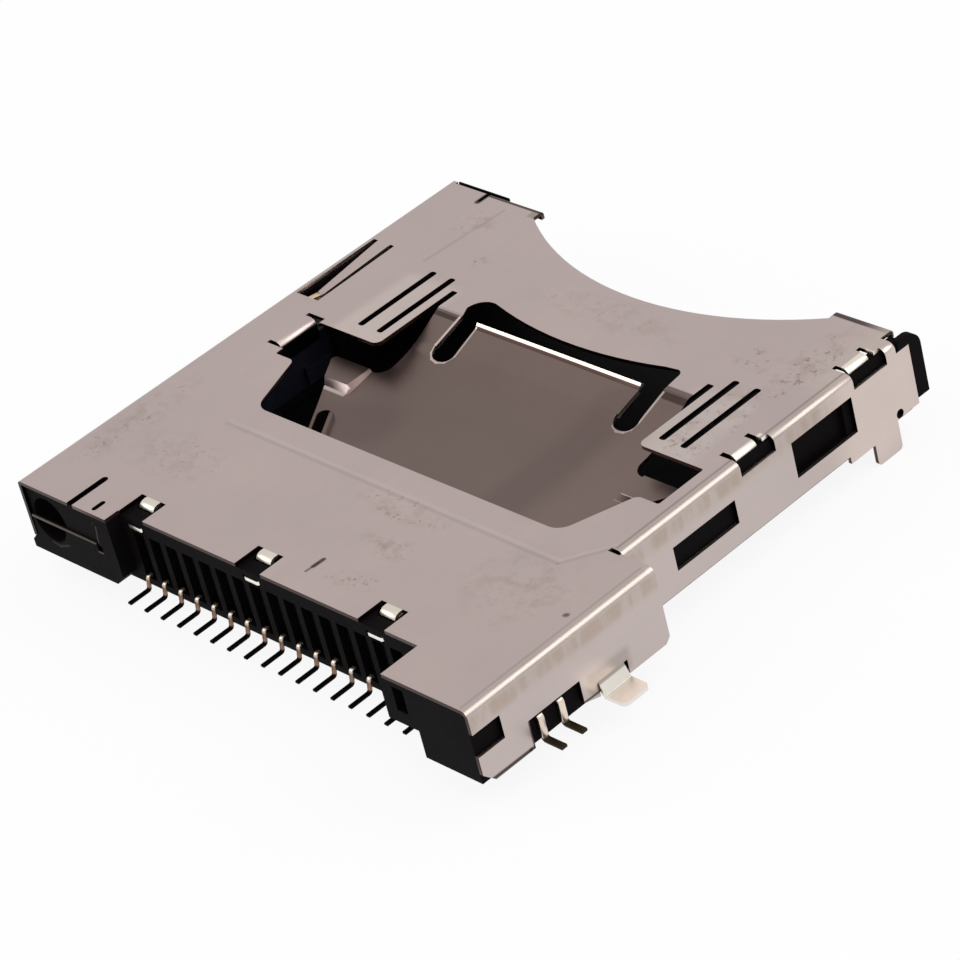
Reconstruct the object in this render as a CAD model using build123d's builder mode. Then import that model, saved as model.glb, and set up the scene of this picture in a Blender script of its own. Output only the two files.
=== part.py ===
from build123d import *
import os
from math import atan2, cos, degrees, radians, sin, sqrt

os.makedirs("parts", exist_ok=True)

# Frame: X across the card bay from its centreline, Y from the contacts towards the
# card mouth, Z up from the circuit board's face. All sizes are in millimetres.

# Card bay and the walls beside it, which set the width
SHEET = 0.25
SEAT_CLEAR = 0.05
BAY_HALF = 16.75
RIGHT_WALL = 0.75
INNER_WALL = 0.6
CHANNEL_W = 2.95
CHANNEL_WALL = 0.3
BLOCK_OUT = 2.5

# Stamped shell, overall
BEND = 0.36
TIGHT_BEND = 0.16
SHELL_TOP = 5.2
HOUSING_RIGHT_X = BAY_HALF + RIGHT_WALL
CHANNEL_INNER_X = -BAY_HALF - INNER_WALL
CHANNEL_OUTER_X = CHANNEL_INNER_X - CHANNEL_W
HOUSING_LEFT_X = CHANNEL_OUTER_X - CHANNEL_WALL
LEFT_X = HOUSING_LEFT_X - SEAT_CLEAR - SHEET
RIGHT_X = HOUSING_RIGHT_X + SEAT_CLEAR + SHEET
BLOCK_RIGHT_X = RIGHT_X + BLOCK_OUT
FRONT_Y = 19.35
JOG_Y = -4.85
LEFT_REAR_Y = -17.7
MIDDLE_REAR_Y = -16.65
BLOCK_REAR_Y = -19.5
LEFT_STEP_X = -12.55
RIGHT_STEP_X = 13.5
FLANGE_FOOT_Z = 0.3
REAR_FLANGE_FOOT_Z = 0.1
RELIEF = 0.3
CUT_ABOVE = 0.6
TOP_CUT_Z = 4.7

# Finger scoop at the mouth
SCOOP_R = 22.4
SCOOP_LOW_Y = 14.65
SCOOP_HALF = 12.5

# Lips folded down along the mouth
LIP_FOOT_Z = 4.65
LIP_ROOT_Y = 18.8
LEFT_LIP_X = LEFT_X + 0.55
LEFT_LIP_SPLIT_X = -BAY_HALF - 0.55
RIGHT_LIP_X = BAY_HALF
CORNER_CUT_Y = 18.25
CORNER_CUT_Z = 4.45

# Window in the top
WINDOW_REAR_Y = -5.0
WINDOW_CORNER_HALF = 13.0
WINDOW_SHOULDER_HALF = BAY_HALF - 2.0
WINDOW_SIDE_HALF = BAY_HALF - 0.35
WINDOW_SIDE_Y = -0.35
COMB_REAR_Y = 3.4
COMB_INNER_HALF = 11.15
COMB_SLIT_HALVES = (12.08, 13.78)
COMB_SLIT_REAR_Y = 4.4
COMB_SLIT_FRONT_Y = 10.95
COMB_SLIT_W = 0.36
ARM_SLIT_FRONT_Y = 9.95
BAND_W = 5.5
ARCH_CORNER = 1.2
ARCH_POINT = 0.5

# Sprung pressing plate, one sheet with the top, carried by two sloping arms
ARM_OUTER_HALF = 10.65
ARM_INNER_HALF = 8.85
ARM_BEND_Y = 8.3
ARM_FOOT_Y = 5.2
ARM_FOOT_Z = 3.62
ARM_OVERLAP = 0.8
TONGUE_HALF = 7.0
TONGUE_Y = 7.85
TONGUE_LIP_Y = 8.15
TONGUE_LIP_Z = 5.15
SLOT_REAR_Y = 5.25
PLATE_TOP = 3.1
PLATE_FLAT_Y = 0.2
PLATE_REAR_Y = -8.5
PLATE_REAR_HALF = 9.4
PLATE_TAPER_Y = -5.6
FOOT_BEND = 8.0
FLAT_BEND = 40.0
PLATE_SLOT_W = 0.95
PLATE_SLOT_START = 0.53
PLATE_SLOT_L = 3.2
PLATE_RIM = 0.2
PLATE_LIP_L = 2.4
PLATE_LIP_ALONG = 1.8
PLATE_LIP_RISE = 0.3
WING_FRONT_Y = 2.85
WING_REAR_Y = 0.45
WING_HALF = 15.15
WING_INNER_HALF = 11.3
WING_TOP = 3.55
WING_RISE = 0.48

# Guide tabs folded down along the bay
TAB_HALF = BAY_HALF + 0.35
TAB_FOOT_Z = 3.8
LEFT_TAB_REAR_Y = 0.55
LEFT_TAB_L = 3.0
LEFT_CUT_X = -TAB_HALF - 0.8
RIGHT_TAB_REAR_YS = (5.2, 14.87)
RIGHT_TAB_L = 1.75
TAB_RELIEF = 0.35
TAB_FRONT_RELIEF = 0.8
RIGHT_CUT_X = BAY_HALF - 0.5
RIGHT_CUT_FOOT_Z = 4.2

# Leaf that holds the cam pin down
LEAF_LEFT_X = LEFT_X + 0.65
LEAF_ROOT_W = 1.5
LEAF_TIP_W = 0.65
LEAF_TIP_INSET = 0.45
LEAF_TIP_Y = 5.4
LEAF_ROOT_Y = 11.9
LEAF_LOW_Y = 6.3
LEAF_DROP = 0.48
LEAF_CURL = 0.14
LEAF_GAP = 0.2
LEAF_SLOT_RIGHT_X = LEFT_X + 2.5

# Rear notches and hooks
NOTCH_PITCH = 10.53
NOTCH_MIDDLE_X = -0.85
NOTCH_W = 2.2
NOTCH_TOP_Y = -14.75
HOOK_W = 1.25
HOOK_Y = -15.37
HOOK_EDGE = 0.09
HOOK_Z = 4.3
HOOK_END_Y = -16.62

# Slits in the rear of the shell, over the spring block
REAR_SLIT_X = -15.88
REAR_SLIT_W = 0.5
REAR_SLIT_Y = -14.65
SHORT_SLIT_X = -14.03
SHORT_SLIT_Y = -16.9
SHORT_SLIT_L = 1.0
SHORT_SLIT_W = 0.36

# Openings in the side flanges
LOW_WINDOW_YS = (-1.2, 3.95)
LOW_WINDOW_ZS = (1.6, 3.2)
TALL_WINDOW_YS = (8.95, 14.15)
TALL_WINDOW_ZS = (1.5, 3.95)

# Board legs and foot pads below the flanges, near the mouth
LEG_REAR_Y = 15.28
LEG_FRONT_Y = 17.4
LEG_FOOT_Z = -1.7
LEG_CHAMFER = 0.3
FOOT_PAD_REAR_Y = 13.2
FOOT_PAD_Z = -0.2
RELIEF_HOLE_R = 0.3
RELIEF_HOLE_Y = 17.68
RELIEF_HOLE_Z = 0.57

# Solder tabs that slope out of the flanges
SOLDER_REAR_Y = -10.5
SOLDER_W = 2.05
SOLDER_TOP_Z = 1.05
SOLDER_FOOT_Z = 0.14
SOLDER_OUT = 0.45
SOLDER_REACH = 2.0
SOLDER_ROUND = 0.4

# Tail gap and rear notch in the rear right flange
TAIL_GAP_YS = (-15.65, -11.7)
TAIL_GAP_Z = 2.0
REAR_NOTCH_Y = -17.45
REAR_NOTCH_ZS = (2.1, 3.65)
REAR_TAB_ROUND = 0.8
JOG_CHAMFER = 0.35
LEFT_FOOT_Z = 1.2

# Housing
FLOOR_TOP = 0.5
BLOCK_UNDERSIDE = 0.15
FLOOR_SLOT_YS = (-14.6, -9.9)
FLOOR_SLOT_W = 0.8
REAR_WALL_FRONT_Y = -15.0
HOUSING_FRONT_Y = 19.0
MOUTH_CHAMFER = 0.2
RIB_PITCH = 1.5
BAY_W = 1.02
BAY_DEPTH = 0.55
BAY_FOOT_Z = 0.65
BAY_TOP_Z = 4.0
CHANNEL_FRONT_Y = 12.0
LOW_WALL_Y = 4.5
LOW_WALL_TOP = 1.0
POST_Y = 20.35
POST_REAR_Y = 18.45
POST_TOP = 5.0
POST_FOOT_Z = 0.65
POST_ROUND = 1.0
POST_INNER_X = RIGHT_X - 0.55
BUMPER_XS = (LEFT_LIP_X, LEFT_LIP_X + 4.65)
BUMPER_Y = 19.5
BUMPER_W = 0.1
BUMPER_TOP = 5.15
TAB_SKIN_X = TAB_HALF + 0.2
WINDOW_POCKET_X = BAY_HALF + 0.4
LEDGE_OUT = 0.4
LEDGE_TOP_Z = 1.1
LEDGE_L = 5.35
OUTER_CHAMFER = 0.15
HOOK_CLEAR = 0.1

# Spring block at the rear left
SPRING_HOLE_R = 1.5
SPRING_HOLE_DEPTH = 1.3
SPRING_HOLE_Z = 2.9
STEP_Z = 2.75
STEP_DEPTH = 0.14
STEP_RIGHT_X = -14.1
CORNER_POCKET = 0.5
WEB = 0.14
PILOT_R = 0.5
PILOT_L = 1.6

# Switch block at the rear right
BLOCK_FRONT_Y = -5.4
BLOCK_LEFT_X = 13.1
PILLAR_CUT_W = 0.85
PILLAR_CUT_H = 0.75
BLOCK_SLOT_XS = (14.07, 14.97)
BLOCK_SLOT_ZS = (2.9, 4.55)
BLOCK_SLOT_DEPTH = 1.2
UNDERCUT_X = 15.5
UNDERCUT_Z = 2.0
POCKET_XS = (RIGHT_X + 0.1, RIGHT_X + 1.7)
POCKET_YS = (-16.0, -11.6)
POCKET_FLOOR_Z = 0.8

# Signal contacts
CONTACT_COUNT = 17
CONTACT_FIRST_X = -11.22
CONTACT_W = 0.44
CONTACT_T = 0.2
CONTACT_BEND = 0.2
CONTACT_CLEAR = 0.03
TAIL_TIP_Y = -18.67
TAIL_ELBOW_Y = -17.0
TAIL_Z = 0.13
CONTACT_PASS_Z = 0.95
CONTACT_RISE_Y = -14.2
CONTACT_CREST_Y = -11.6
CONTACT_CREST_Z = 1.6
CONTACT_END_Y = -10.3
CONTACT_END_Z = 1.15

# Detect switch strips
SWITCH_FIXED_Y = -14.95
SWITCH_MOVING_Y = -13.3
SWITCH_W = 0.5
SWITCH_T = 0.2
SWITCH_PASS_Z = 1.72
SWITCH_OUT_X = BLOCK_RIGHT_X + 0.2
SWITCH_TIP_X = BLOCK_RIGHT_X + 1.3
FIXED_BLADE_X = RIGHT_X + 0.8
FIXED_BLADE_Z = 3.3
MOVING_RISE_X = RIGHT_X + 1.1
MOVING_NOSE_X = BAY_HALF - 0.2
MOVING_NOSE_Z = 2.5

# Eject slider and its travel
TRAVEL = 4.5
RUN_CLEAR = 0.1
SLIDER_REAR_Y = -10.2
SLIDER_TOP = 3.9
LUG_X = 1.15 - BAY_HALF
LUG_FRONT_Y = -8.7
LUG_L = 1.4
LUG_FOOT_Z = 1.1
LUG_TOP = 2.6
PAD_X = -BAY_HALF - 0.45
PAD_YS = (2.0, 4.2)
PAD_TOP = 2.3
LUG_ROUND = 0.4
SPRING_BORE_R = 1.05
SPRING_BORE_END_Y = -2.0
CAM_DEPTH = 0.6
CAM_GROOVE_W = 0.7
CAM_SWING = 0.5

# Cam follower pin
PIN_R = 0.22
PIN_SIDES = 6
PIN_X = CHANNEL_INNER_X - 1.85
PIN_PIVOT_Y = 13.4
PIN_TIP_Y = 5.25
PIN_LIFT = 0.1
PIN_LEG = 1.4
PIN_BEND = 0.4
PIN_CLEAR = 0.05

# Return spring
COIL_R = 0.78
WIRE_R = 0.12
COIL_TURNS = 5
WIRE_SIDES = 4

# Derived places
UNDER_SHEET = SHELL_TOP - SHEET
MID_SHEET = SHELL_TOP - SHEET / 2
HOUSING_TOP = UNDER_SHEET - SEAT_CLEAR
BLOCK_X = BLOCK_RIGHT_X - SHEET - SEAT_CLEAR
LEFT_BLOCK_Y = LEFT_REAR_Y + SEAT_CLEAR
REAR_WALL_Y = MIDDLE_REAR_Y + SEAT_CLEAR
BLOCK_Y = BLOCK_REAR_Y + SEAT_CLEAR
CHANNEL_X = (CHANNEL_OUTER_X + CHANNEL_INNER_X) / 2
SLIDER_FRONT_Y = CHANNEL_FRONT_Y - RUN_CLEAR
SLIDER_FOOT_Z = FLOOR_TOP + RUN_CLEAR
SPRING_Z = (SLIDER_FOOT_Z + SLIDER_TOP) / 2
PIN_Z = SLIDER_TOP + PIN_LIFT + PIN_R
CAM_FLOOR_Z = SLIDER_TOP - CAM_DEPTH
SCOOP_Y = SCOOP_LOW_Y + SCOOP_R
SCOOP_EDGE_Y = SCOOP_Y - sqrt(SCOOP_R**2 - SCOOP_HALF**2)
ARCH_R = SCOOP_R + BAND_W
ARCH_EDGE_Y = SCOOP_Y - sqrt(ARCH_R**2 - ARM_INNER_HALF**2)
CONTACT_XS = [CONTACT_FIRST_X + RIB_PITCH * index for index in range(CONTACT_COUNT)]
NOTCH_XS = [NOTCH_MIDDLE_X + NOTCH_PITCH * index for index in (-1, 0, 1)]
ARM_SLOPE = (SHELL_TOP - ARM_FOOT_Z) / (ARM_BEND_Y - ARM_FOOT_Y)
TAPER_RUN = WING_HALF - PLATE_REAR_HALF
TAPER_RISE = WING_FRONT_Y - PLATE_TAPER_Y
TAPER_ANGLE = degrees(atan2(TAPER_RISE, TAPER_RUN))


def span_box(x_range, y_range, z_range, mode=Mode.ADD):
    """Box between two values on each axis, in the part being built."""
    spans = (sorted(x_range), sorted(y_range), sorted(z_range))
    sizes = [high - low for low, high in spans]
    middle = [(low + high) / 2 for low, high in spans]
    with Locations(tuple(middle)):
        Box(*sizes, mode=mode)


def strip(plane, points, width, thickness, radius):
    """Flat strip bent along a line of points and extruded from its plane."""
    with BuildPart() as bent:
        with BuildSketch(plane):
            with BuildLine():
                FilletPolyline(*points, radius=radius)
            trace(line_width=thickness)
        extrude(amount=width)
    return bent.part


def taper_place(inset, along):
    """Place beside the plate's left tapered side, below the window's rear corner."""
    start_x = WING_HALF - TAPER_RUN * PLATE_SLOT_START
    start_y = WING_FRONT_Y - TAPER_RISE * PLATE_SLOT_START
    angle = radians(TAPER_ANGLE)
    return (
        -start_x + along * cos(angle) + inset * sin(angle),
        start_y - along * sin(angle) + inset * cos(angle),
    )


def wing_block(side, foot, top):
    """Block of one wing's outline, sloped at its rear and inner sides."""
    with BuildPart() as block:
        span_box(
            (side * WING_INNER_HALF, side * WING_HALF),
            (WING_REAR_Y, WING_FRONT_Y),
            (foot, top),
        )
        upper = block.edges().group_by(Axis.Z)[-1]
        inner = upper.filter_by(Axis.Y).sort_by(Axis.X)[0 if side > 0 else -1]
        chamfer([upper.group_by(Axis.Y)[0][0], inner], length=WING_RISE)
    return block.part


# Pressing plate of the shell: arms, tongue, wings and the plate between them
with BuildPart() as pressing_plate:
    with BuildSketch(Plane.YZ.offset(-WING_HALF)):
        with BuildLine():
            FilletPolyline(
                (ARM_BEND_Y + ARM_OVERLAP, MID_SHEET),
                (ARM_BEND_Y, MID_SHEET),
                (ARM_FOOT_Y, ARM_FOOT_Z - SHEET / 2),
                (PLATE_FLAT_Y, PLATE_TOP - SHEET / 2),
                (PLATE_REAR_Y, PLATE_TOP - SHEET / 2),
                radius=[BEND, FOOT_BEND, FLAT_BEND],
            )
        trace(line_width=SHEET)
    extrude(amount=2 * WING_HALF)
    # Wings raised above the plate, with sloping rear and inner sides
    for side in (-1, 1):
        add(wing_block(side, PLATE_TOP - SHEET, WING_TOP))
        add(wing_block(side, 0, WING_TOP - SHEET), mode=Mode.SUBTRACT)
    # Outline seen from above, with one slot beside the left taper
    with BuildSketch(Plane.XY):
        with BuildLine():
            FilletPolyline(
                (0, PLATE_REAR_Y),
                (PLATE_REAR_HALF, PLATE_REAR_Y),
                (PLATE_REAR_HALF, PLATE_TAPER_Y),
                (WING_HALF, WING_FRONT_Y),
                (ARM_OUTER_HALF, WING_FRONT_Y),
                (ARM_OUTER_HALF, ARM_BEND_Y + ARM_OVERLAP),
                (ARM_INNER_HALF, ARM_BEND_Y + ARM_OVERLAP),
                (ARM_INNER_HALF, SLOT_REAR_Y),
                (TONGUE_HALF, SLOT_REAR_Y),
                (TONGUE_HALF, TONGUE_Y),
                (0, TONGUE_Y),
                radius=[1.0, 0.6, 0.3, 0.9, 0, 0, 0.8, 0.8, 0],
            )
            Line((0, TONGUE_Y), (0, PLATE_REAR_Y))
        make_face()
        mirror(about=Plane.YZ)
        with Locations(taper_place(PLATE_RIM + PLATE_SLOT_W / 2, PLATE_SLOT_L / 2)):
            SlotOverall(PLATE_SLOT_L, PLATE_SLOT_W, rotation=-TAPER_ANGLE, mode=Mode.SUBTRACT)
    extrude(amount=SHELL_TOP, mode=Mode.INTERSECT)
    # Turned-up inner edge of that slot
    with BuildSketch(Plane.XY.offset(PLATE_TOP - SHEET)):
        with Locations(taper_place(PLATE_RIM + PLATE_SLOT_W + SHEET / 2, PLATE_LIP_ALONG)):
            SlotOverall(PLATE_LIP_L, SHEET, rotation=-TAPER_ANGLE)
    extrude(amount=SHEET + PLATE_LIP_RISE)
    # Turned-up front end of the tongue
    add(
        strip(
            Plane.YZ.offset(-TONGUE_HALF),
            (
                (TONGUE_Y - ARM_OVERLAP, MID_SHEET - ARM_SLOPE * (ARM_BEND_Y - TONGUE_Y + ARM_OVERLAP)),
                (TONGUE_Y, MID_SHEET - ARM_SLOPE * (ARM_BEND_Y - TONGUE_Y)),
                (TONGUE_LIP_Y, TONGUE_LIP_Z),
            ),
            2 * TONGUE_HALF,
            SHEET,
            BEND,
        )
    )

# Leaf of the shell over the cam pin, narrower at its curled tip
with BuildPart() as pin_leaf:
    add(
        strip(
            Plane.YZ.offset(LEAF_LEFT_X),
            (
                (LEAF_ROOT_Y + RELIEF, MID_SHEET),
                (LEAF_ROOT_Y - RELIEF, MID_SHEET),
                (LEAF_LOW_Y, MID_SHEET - LEAF_DROP),
                (LEAF_TIP_Y, MID_SHEET - LEAF_DROP + LEAF_CURL),
            ),
            LEAF_ROOT_W,
            SHEET,
            BEND,
        )
    )
    with BuildSketch(Plane.XY):
        with BuildLine():
            Polyline(
                (LEAF_LEFT_X, LEAF_ROOT_Y + RELIEF),
                (LEAF_LEFT_X + LEAF_ROOT_W, LEAF_ROOT_Y + RELIEF),
                (LEAF_LEFT_X + LEAF_TIP_INSET + LEAF_TIP_W, LEAF_TIP_Y - RELIEF),
                (LEAF_LEFT_X + LEAF_TIP_INSET, LEAF_TIP_Y - RELIEF),
                close=True,
            )
        make_face()
    extrude(amount=SHELL_TOP, mode=Mode.INTERSECT)

# Top shell: one stamping, folded down at both sides
with BuildPart() as top_shell:
    # Front part of the sheet, as wide as the card bay and the slider channel
    with BuildSketch(Plane.XZ.offset(-FRONT_Y)):
        with BuildLine():
            FilletPolyline(
                (LEFT_X + SHEET / 2, FLANGE_FOOT_Z),
                (LEFT_X + SHEET / 2, MID_SHEET),
                (RIGHT_X - SHEET / 2, MID_SHEET),
                (RIGHT_X - SHEET / 2, FLANGE_FOOT_Z),
                radius=[TIGHT_BEND, BEND],
            )
        trace(line_width=SHEET)
    extrude(amount=FRONT_Y - JOG_Y)
    # Rear part, wider over the switch block
    with BuildSketch(Plane.XZ.offset(-JOG_Y)):
        with BuildLine():
            FilletPolyline(
                (LEFT_X + SHEET / 2, FLANGE_FOOT_Z),
                (LEFT_X + SHEET / 2, MID_SHEET),
                (BLOCK_RIGHT_X - SHEET / 2, MID_SHEET),
                (BLOCK_RIGHT_X - SHEET / 2, REAR_FLANGE_FOOT_Z),
                radius=[TIGHT_BEND, BEND],
            )
        trace(line_width=SHEET)
    extrude(amount=JOG_Y - BLOCK_REAR_Y)
    # Rear edge in three steps
    span_box(
        (LEFT_X - RELIEF, LEFT_STEP_X),
        (BLOCK_REAR_Y - RELIEF, LEFT_REAR_Y),
        (0, SHELL_TOP + RELIEF),
        mode=Mode.SUBTRACT,
    )
    span_box(
        (LEFT_STEP_X, RIGHT_STEP_X),
        (BLOCK_REAR_Y - RELIEF, MIDDLE_REAR_Y),
        (0, SHELL_TOP + RELIEF),
        mode=Mode.SUBTRACT,
    )
    # Finger scoop, an arc between the two mouth lips
    with BuildSketch(Plane.XY.offset(SHELL_TOP + CUT_ABOVE)):
        with BuildLine():
            Polyline(
                (-SCOOP_HALF, SCOOP_EDGE_Y),
                (-SCOOP_HALF, FRONT_Y + RELIEF),
                (SCOOP_HALF, FRONT_Y + RELIEF),
                (SCOOP_HALF, SCOOP_EDGE_Y),
            )
            ThreePointArc(
                (SCOOP_HALF, SCOOP_EDGE_Y),
                (0, SCOOP_LOW_Y),
                (-SCOOP_HALF, SCOOP_EDGE_Y),
            )
        make_face()
    extrude(until=None, amount=TOP_CUT_Z - SHELL_TOP - CUT_ABOVE, mode=Mode.SUBTRACT)
    # Window, with the comb tongues reaching in from both sides
    with BuildSketch(Plane.XY.offset(SHELL_TOP + CUT_ABOVE)) as window:
        with BuildLine():
            FilletPolyline(
                (0, WINDOW_REAR_Y),
                (WINDOW_CORNER_HALF, WINDOW_REAR_Y),
                (WINDOW_SHOULDER_HALF, WINDOW_SIDE_Y),
                (WINDOW_SIDE_HALF, WINDOW_SIDE_Y),
                (WINDOW_SIDE_HALF, COMB_REAR_Y),
                (COMB_INNER_HALF, COMB_REAR_Y),
                (COMB_INNER_HALF, ARM_SLIT_FRONT_Y),
                (ARM_OUTER_HALF, ARM_SLIT_FRONT_Y),
                (ARM_OUTER_HALF, ARM_BEND_Y),
                (ARM_INNER_HALF, ARM_BEND_Y),
                (ARM_INNER_HALF, ARCH_EDGE_Y),
                radius=[1.2, 0.5, 0.15, 0.15, 0.5, 0.1, 0.1, 0, 0],
            )
            Line((0, ARCH_EDGE_Y), (0, WINDOW_REAR_Y))
            Line((ARM_INNER_HALF, ARCH_EDGE_Y), (0, ARCH_EDGE_Y))
        make_face()
        with Locations((0, SCOOP_Y)):
            Circle(ARCH_R, mode=Mode.SUBTRACT)
        mirror(about=Plane.YZ)
        fillet(window.vertices().group_by(Axis.Y)[-1].sort_by(Axis.X)[0], radius=ARCH_CORNER)
        fillet(window.vertices().group_by(Axis.Y)[-1].sort_by(Axis.X)[-1], radius=ARCH_POINT)
    extrude(amount=TOP_CUT_Z - SHELL_TOP - CUT_ABOVE, mode=Mode.SUBTRACT)
    # Comb slits, rear slits and the slot round the cam pin leaf
    with BuildSketch(Plane.XY.offset(SHELL_TOP + CUT_ABOVE)):
        for side in (-1, 1):
            for half in COMB_SLIT_HALVES:
                with Locations((side * half, (COMB_SLIT_REAR_Y + COMB_SLIT_FRONT_Y) / 2)):
                    SlotOverall(COMB_SLIT_FRONT_Y - COMB_SLIT_REAR_Y, COMB_SLIT_W, rotation=90)
        with Locations((REAR_SLIT_X, LEFT_REAR_Y)):
            SlotOverall(2 * (REAR_SLIT_Y - LEFT_REAR_Y), REAR_SLIT_W, rotation=90)
        with Locations((SHORT_SLIT_X, SHORT_SLIT_Y)):
            SlotOverall(SHORT_SLIT_L, SHORT_SLIT_W, rotation=90)
        with BuildLine():
            Polyline(
                (LEAF_LEFT_X - LEAF_GAP, LEAF_ROOT_Y),
                (LEAF_LEFT_X + LEAF_ROOT_W + LEAF_GAP, LEAF_ROOT_Y),
                (LEAF_SLOT_RIGHT_X, LEAF_TIP_Y - RELIEF),
                (LEAF_LEFT_X - LEAF_GAP, LEAF_TIP_Y - RELIEF),
                close=True,
            )
        make_face()
        with Locations((LEFT_LIP_SPLIT_X, FRONT_Y)):
            SlotOverall(2 * (FRONT_Y - CORNER_CUT_Y), RELIEF, rotation=90)
        with Locations(*[(x, MIDDLE_REAR_Y) for x in NOTCH_XS]):
            Rectangle(NOTCH_W, 2 * (NOTCH_TOP_Y - MIDDLE_REAR_Y))
    extrude(amount=TOP_CUT_Z - SHELL_TOP - CUT_ABOVE, mode=Mode.SUBTRACT)
    # Sheet cut back where the lips are folded, and the reliefs at the right corner
    span_box(
        (LEFT_LIP_X, RIGHT_LIP_X),
        (LIP_ROOT_Y, FRONT_Y + RELIEF),
        (TOP_CUT_Z, SHELL_TOP + RELIEF),
        mode=Mode.SUBTRACT,
    )
    span_box(
        (RIGHT_LIP_X, RIGHT_X + RELIEF),
        (CORNER_CUT_Y, FRONT_Y + RELIEF),
        (CORNER_CUT_Z, SHELL_TOP + RELIEF),
        mode=Mode.SUBTRACT,
    )
    span_box(
        (RIGHT_X - 3 * RELIEF, RIGHT_X),
        (JOG_Y - RELIEF / 2, JOG_Y + RELIEF / 2),
        (TOP_CUT_Z, SHELL_TOP + RELIEF),
        mode=Mode.SUBTRACT,
    )
    for low_x, high_x in (
        (LEFT_LIP_X, LEFT_LIP_SPLIT_X - RELIEF / 2),
        (LEFT_LIP_SPLIT_X + RELIEF / 2, -SCOOP_HALF),
        (SCOOP_HALF, RIGHT_LIP_X),
    ):
        add(
            strip(
                Plane.YZ.offset(low_x),
                (
                    (LIP_ROOT_Y - RELIEF, MID_SHEET),
                    (FRONT_Y - SHEET / 2, MID_SHEET),
                    (FRONT_Y - SHEET / 2, LIP_FOOT_Z),
                ),
                high_x - low_x,
                SHEET,
                TIGHT_BEND,
            )
        )
    # Cut-outs across the right fold, and the left cut beside the window
    for rear_y in RIGHT_TAB_REAR_YS:
        for inner_x, relief in ((RIGHT_CUT_X, TAB_RELIEF), (TAB_SKIN_X, TAB_FRONT_RELIEF)):
            span_box(
                (inner_x, RIGHT_X + RELIEF),
                (rear_y - TAB_RELIEF, rear_y + RIGHT_TAB_L + relief),
                (RIGHT_CUT_FOOT_Z, SHELL_TOP + RELIEF),
                mode=Mode.SUBTRACT,
            )
    span_box(
        (LEFT_CUT_X, -WINDOW_SIDE_HALF),
        (LEFT_TAB_REAR_Y - RELIEF, LEFT_TAB_REAR_Y + LEFT_TAB_L + RELIEF),
        (TOP_CUT_Z, SHELL_TOP + RELIEF),
        mode=Mode.SUBTRACT,
    )
    # Guide tabs folded down in those cuts
    for root_x, tab_x, rear_y, length in (
        (LEFT_CUT_X - RELIEF, -TAB_HALF, LEFT_TAB_REAR_Y, LEFT_TAB_L),
        (RIGHT_CUT_X - RELIEF, TAB_HALF, RIGHT_TAB_REAR_YS[0], RIGHT_TAB_L),
        (RIGHT_CUT_X - RELIEF, TAB_HALF, RIGHT_TAB_REAR_YS[1], RIGHT_TAB_L),
    ):
        add(
            strip(
                Plane.XZ.offset(-rear_y - length),
                ((root_x, MID_SHEET), (tab_x, MID_SHEET), (tab_x, TAB_FOOT_Z)),
                length,
                SHEET,
                BEND,
            )
        )
    # Leaf over the cam pin
    add(pin_leaf.part)
    # Hooks that pass under the housing's rear bar
    for x in NOTCH_XS:
        hook = strip(
            Plane.YZ.offset(x - HOOK_W / 2),
            (
                (NOTCH_TOP_Y + RELIEF, MID_SHEET),
                (HOOK_Y, MID_SHEET),
                (HOOK_Y, HOOK_Z),
                (HOOK_END_Y, HOOK_Z),
            ),
            HOOK_W,
            SHEET,
            BEND,
        )
        end_edges = hook.faces().sort_by(Axis.Y)[0].edges().filter_by(Axis.Z)
        add(hook.chamfer(HOOK_EDGE, None, end_edges))
    # Windows through both flanges, the legs, foot pads and their reliefs
    for side, face_x in ((-1, LEFT_X), (1, RIGHT_X)):
        skin = (face_x - side * SHEET, face_x)
        cut = (face_x - side * 2 * SHEET, face_x + side * SHEET)
        for y_range, z_range in (
            (LOW_WINDOW_YS, LOW_WINDOW_ZS),
            (TALL_WINDOW_YS, TALL_WINDOW_ZS),
        ):
            span_box(cut, y_range, z_range, mode=Mode.SUBTRACT)
        span_box(skin, (FOOT_PAD_REAR_Y, LEG_REAR_Y), (FOOT_PAD_Z, FLANGE_FOOT_Z + RELIEF))
        with BuildSketch(Plane.YZ.offset(min(skin))):
            with BuildLine():
                FilletPolyline(
                    (LEG_REAR_Y, FLANGE_FOOT_Z + RELIEF),
                    (LEG_REAR_Y, LEG_FOOT_Z),
                    (LEG_FRONT_Y, LEG_FOOT_Z),
                    (LEG_FRONT_Y, FLANGE_FOOT_Z + RELIEF),
                    radius=LEG_CHAMFER,
                )
                Line(
                    (LEG_FRONT_Y, FLANGE_FOOT_Z + RELIEF),
                    (LEG_REAR_Y, FLANGE_FOOT_Z + RELIEF),
                )
            make_face()
        extrude(amount=SHEET)
        with Locations(Plane.YZ.offset(min(cut))):
            with Locations((RELIEF_HOLE_Y, RELIEF_HOLE_Z)):
                Cylinder(
                    RELIEF_HOLE_R,
                    3 * SHEET,
                    align=(Align.CENTER, Align.CENTER, Align.MIN),
                    mode=Mode.SUBTRACT,
                )
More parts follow.
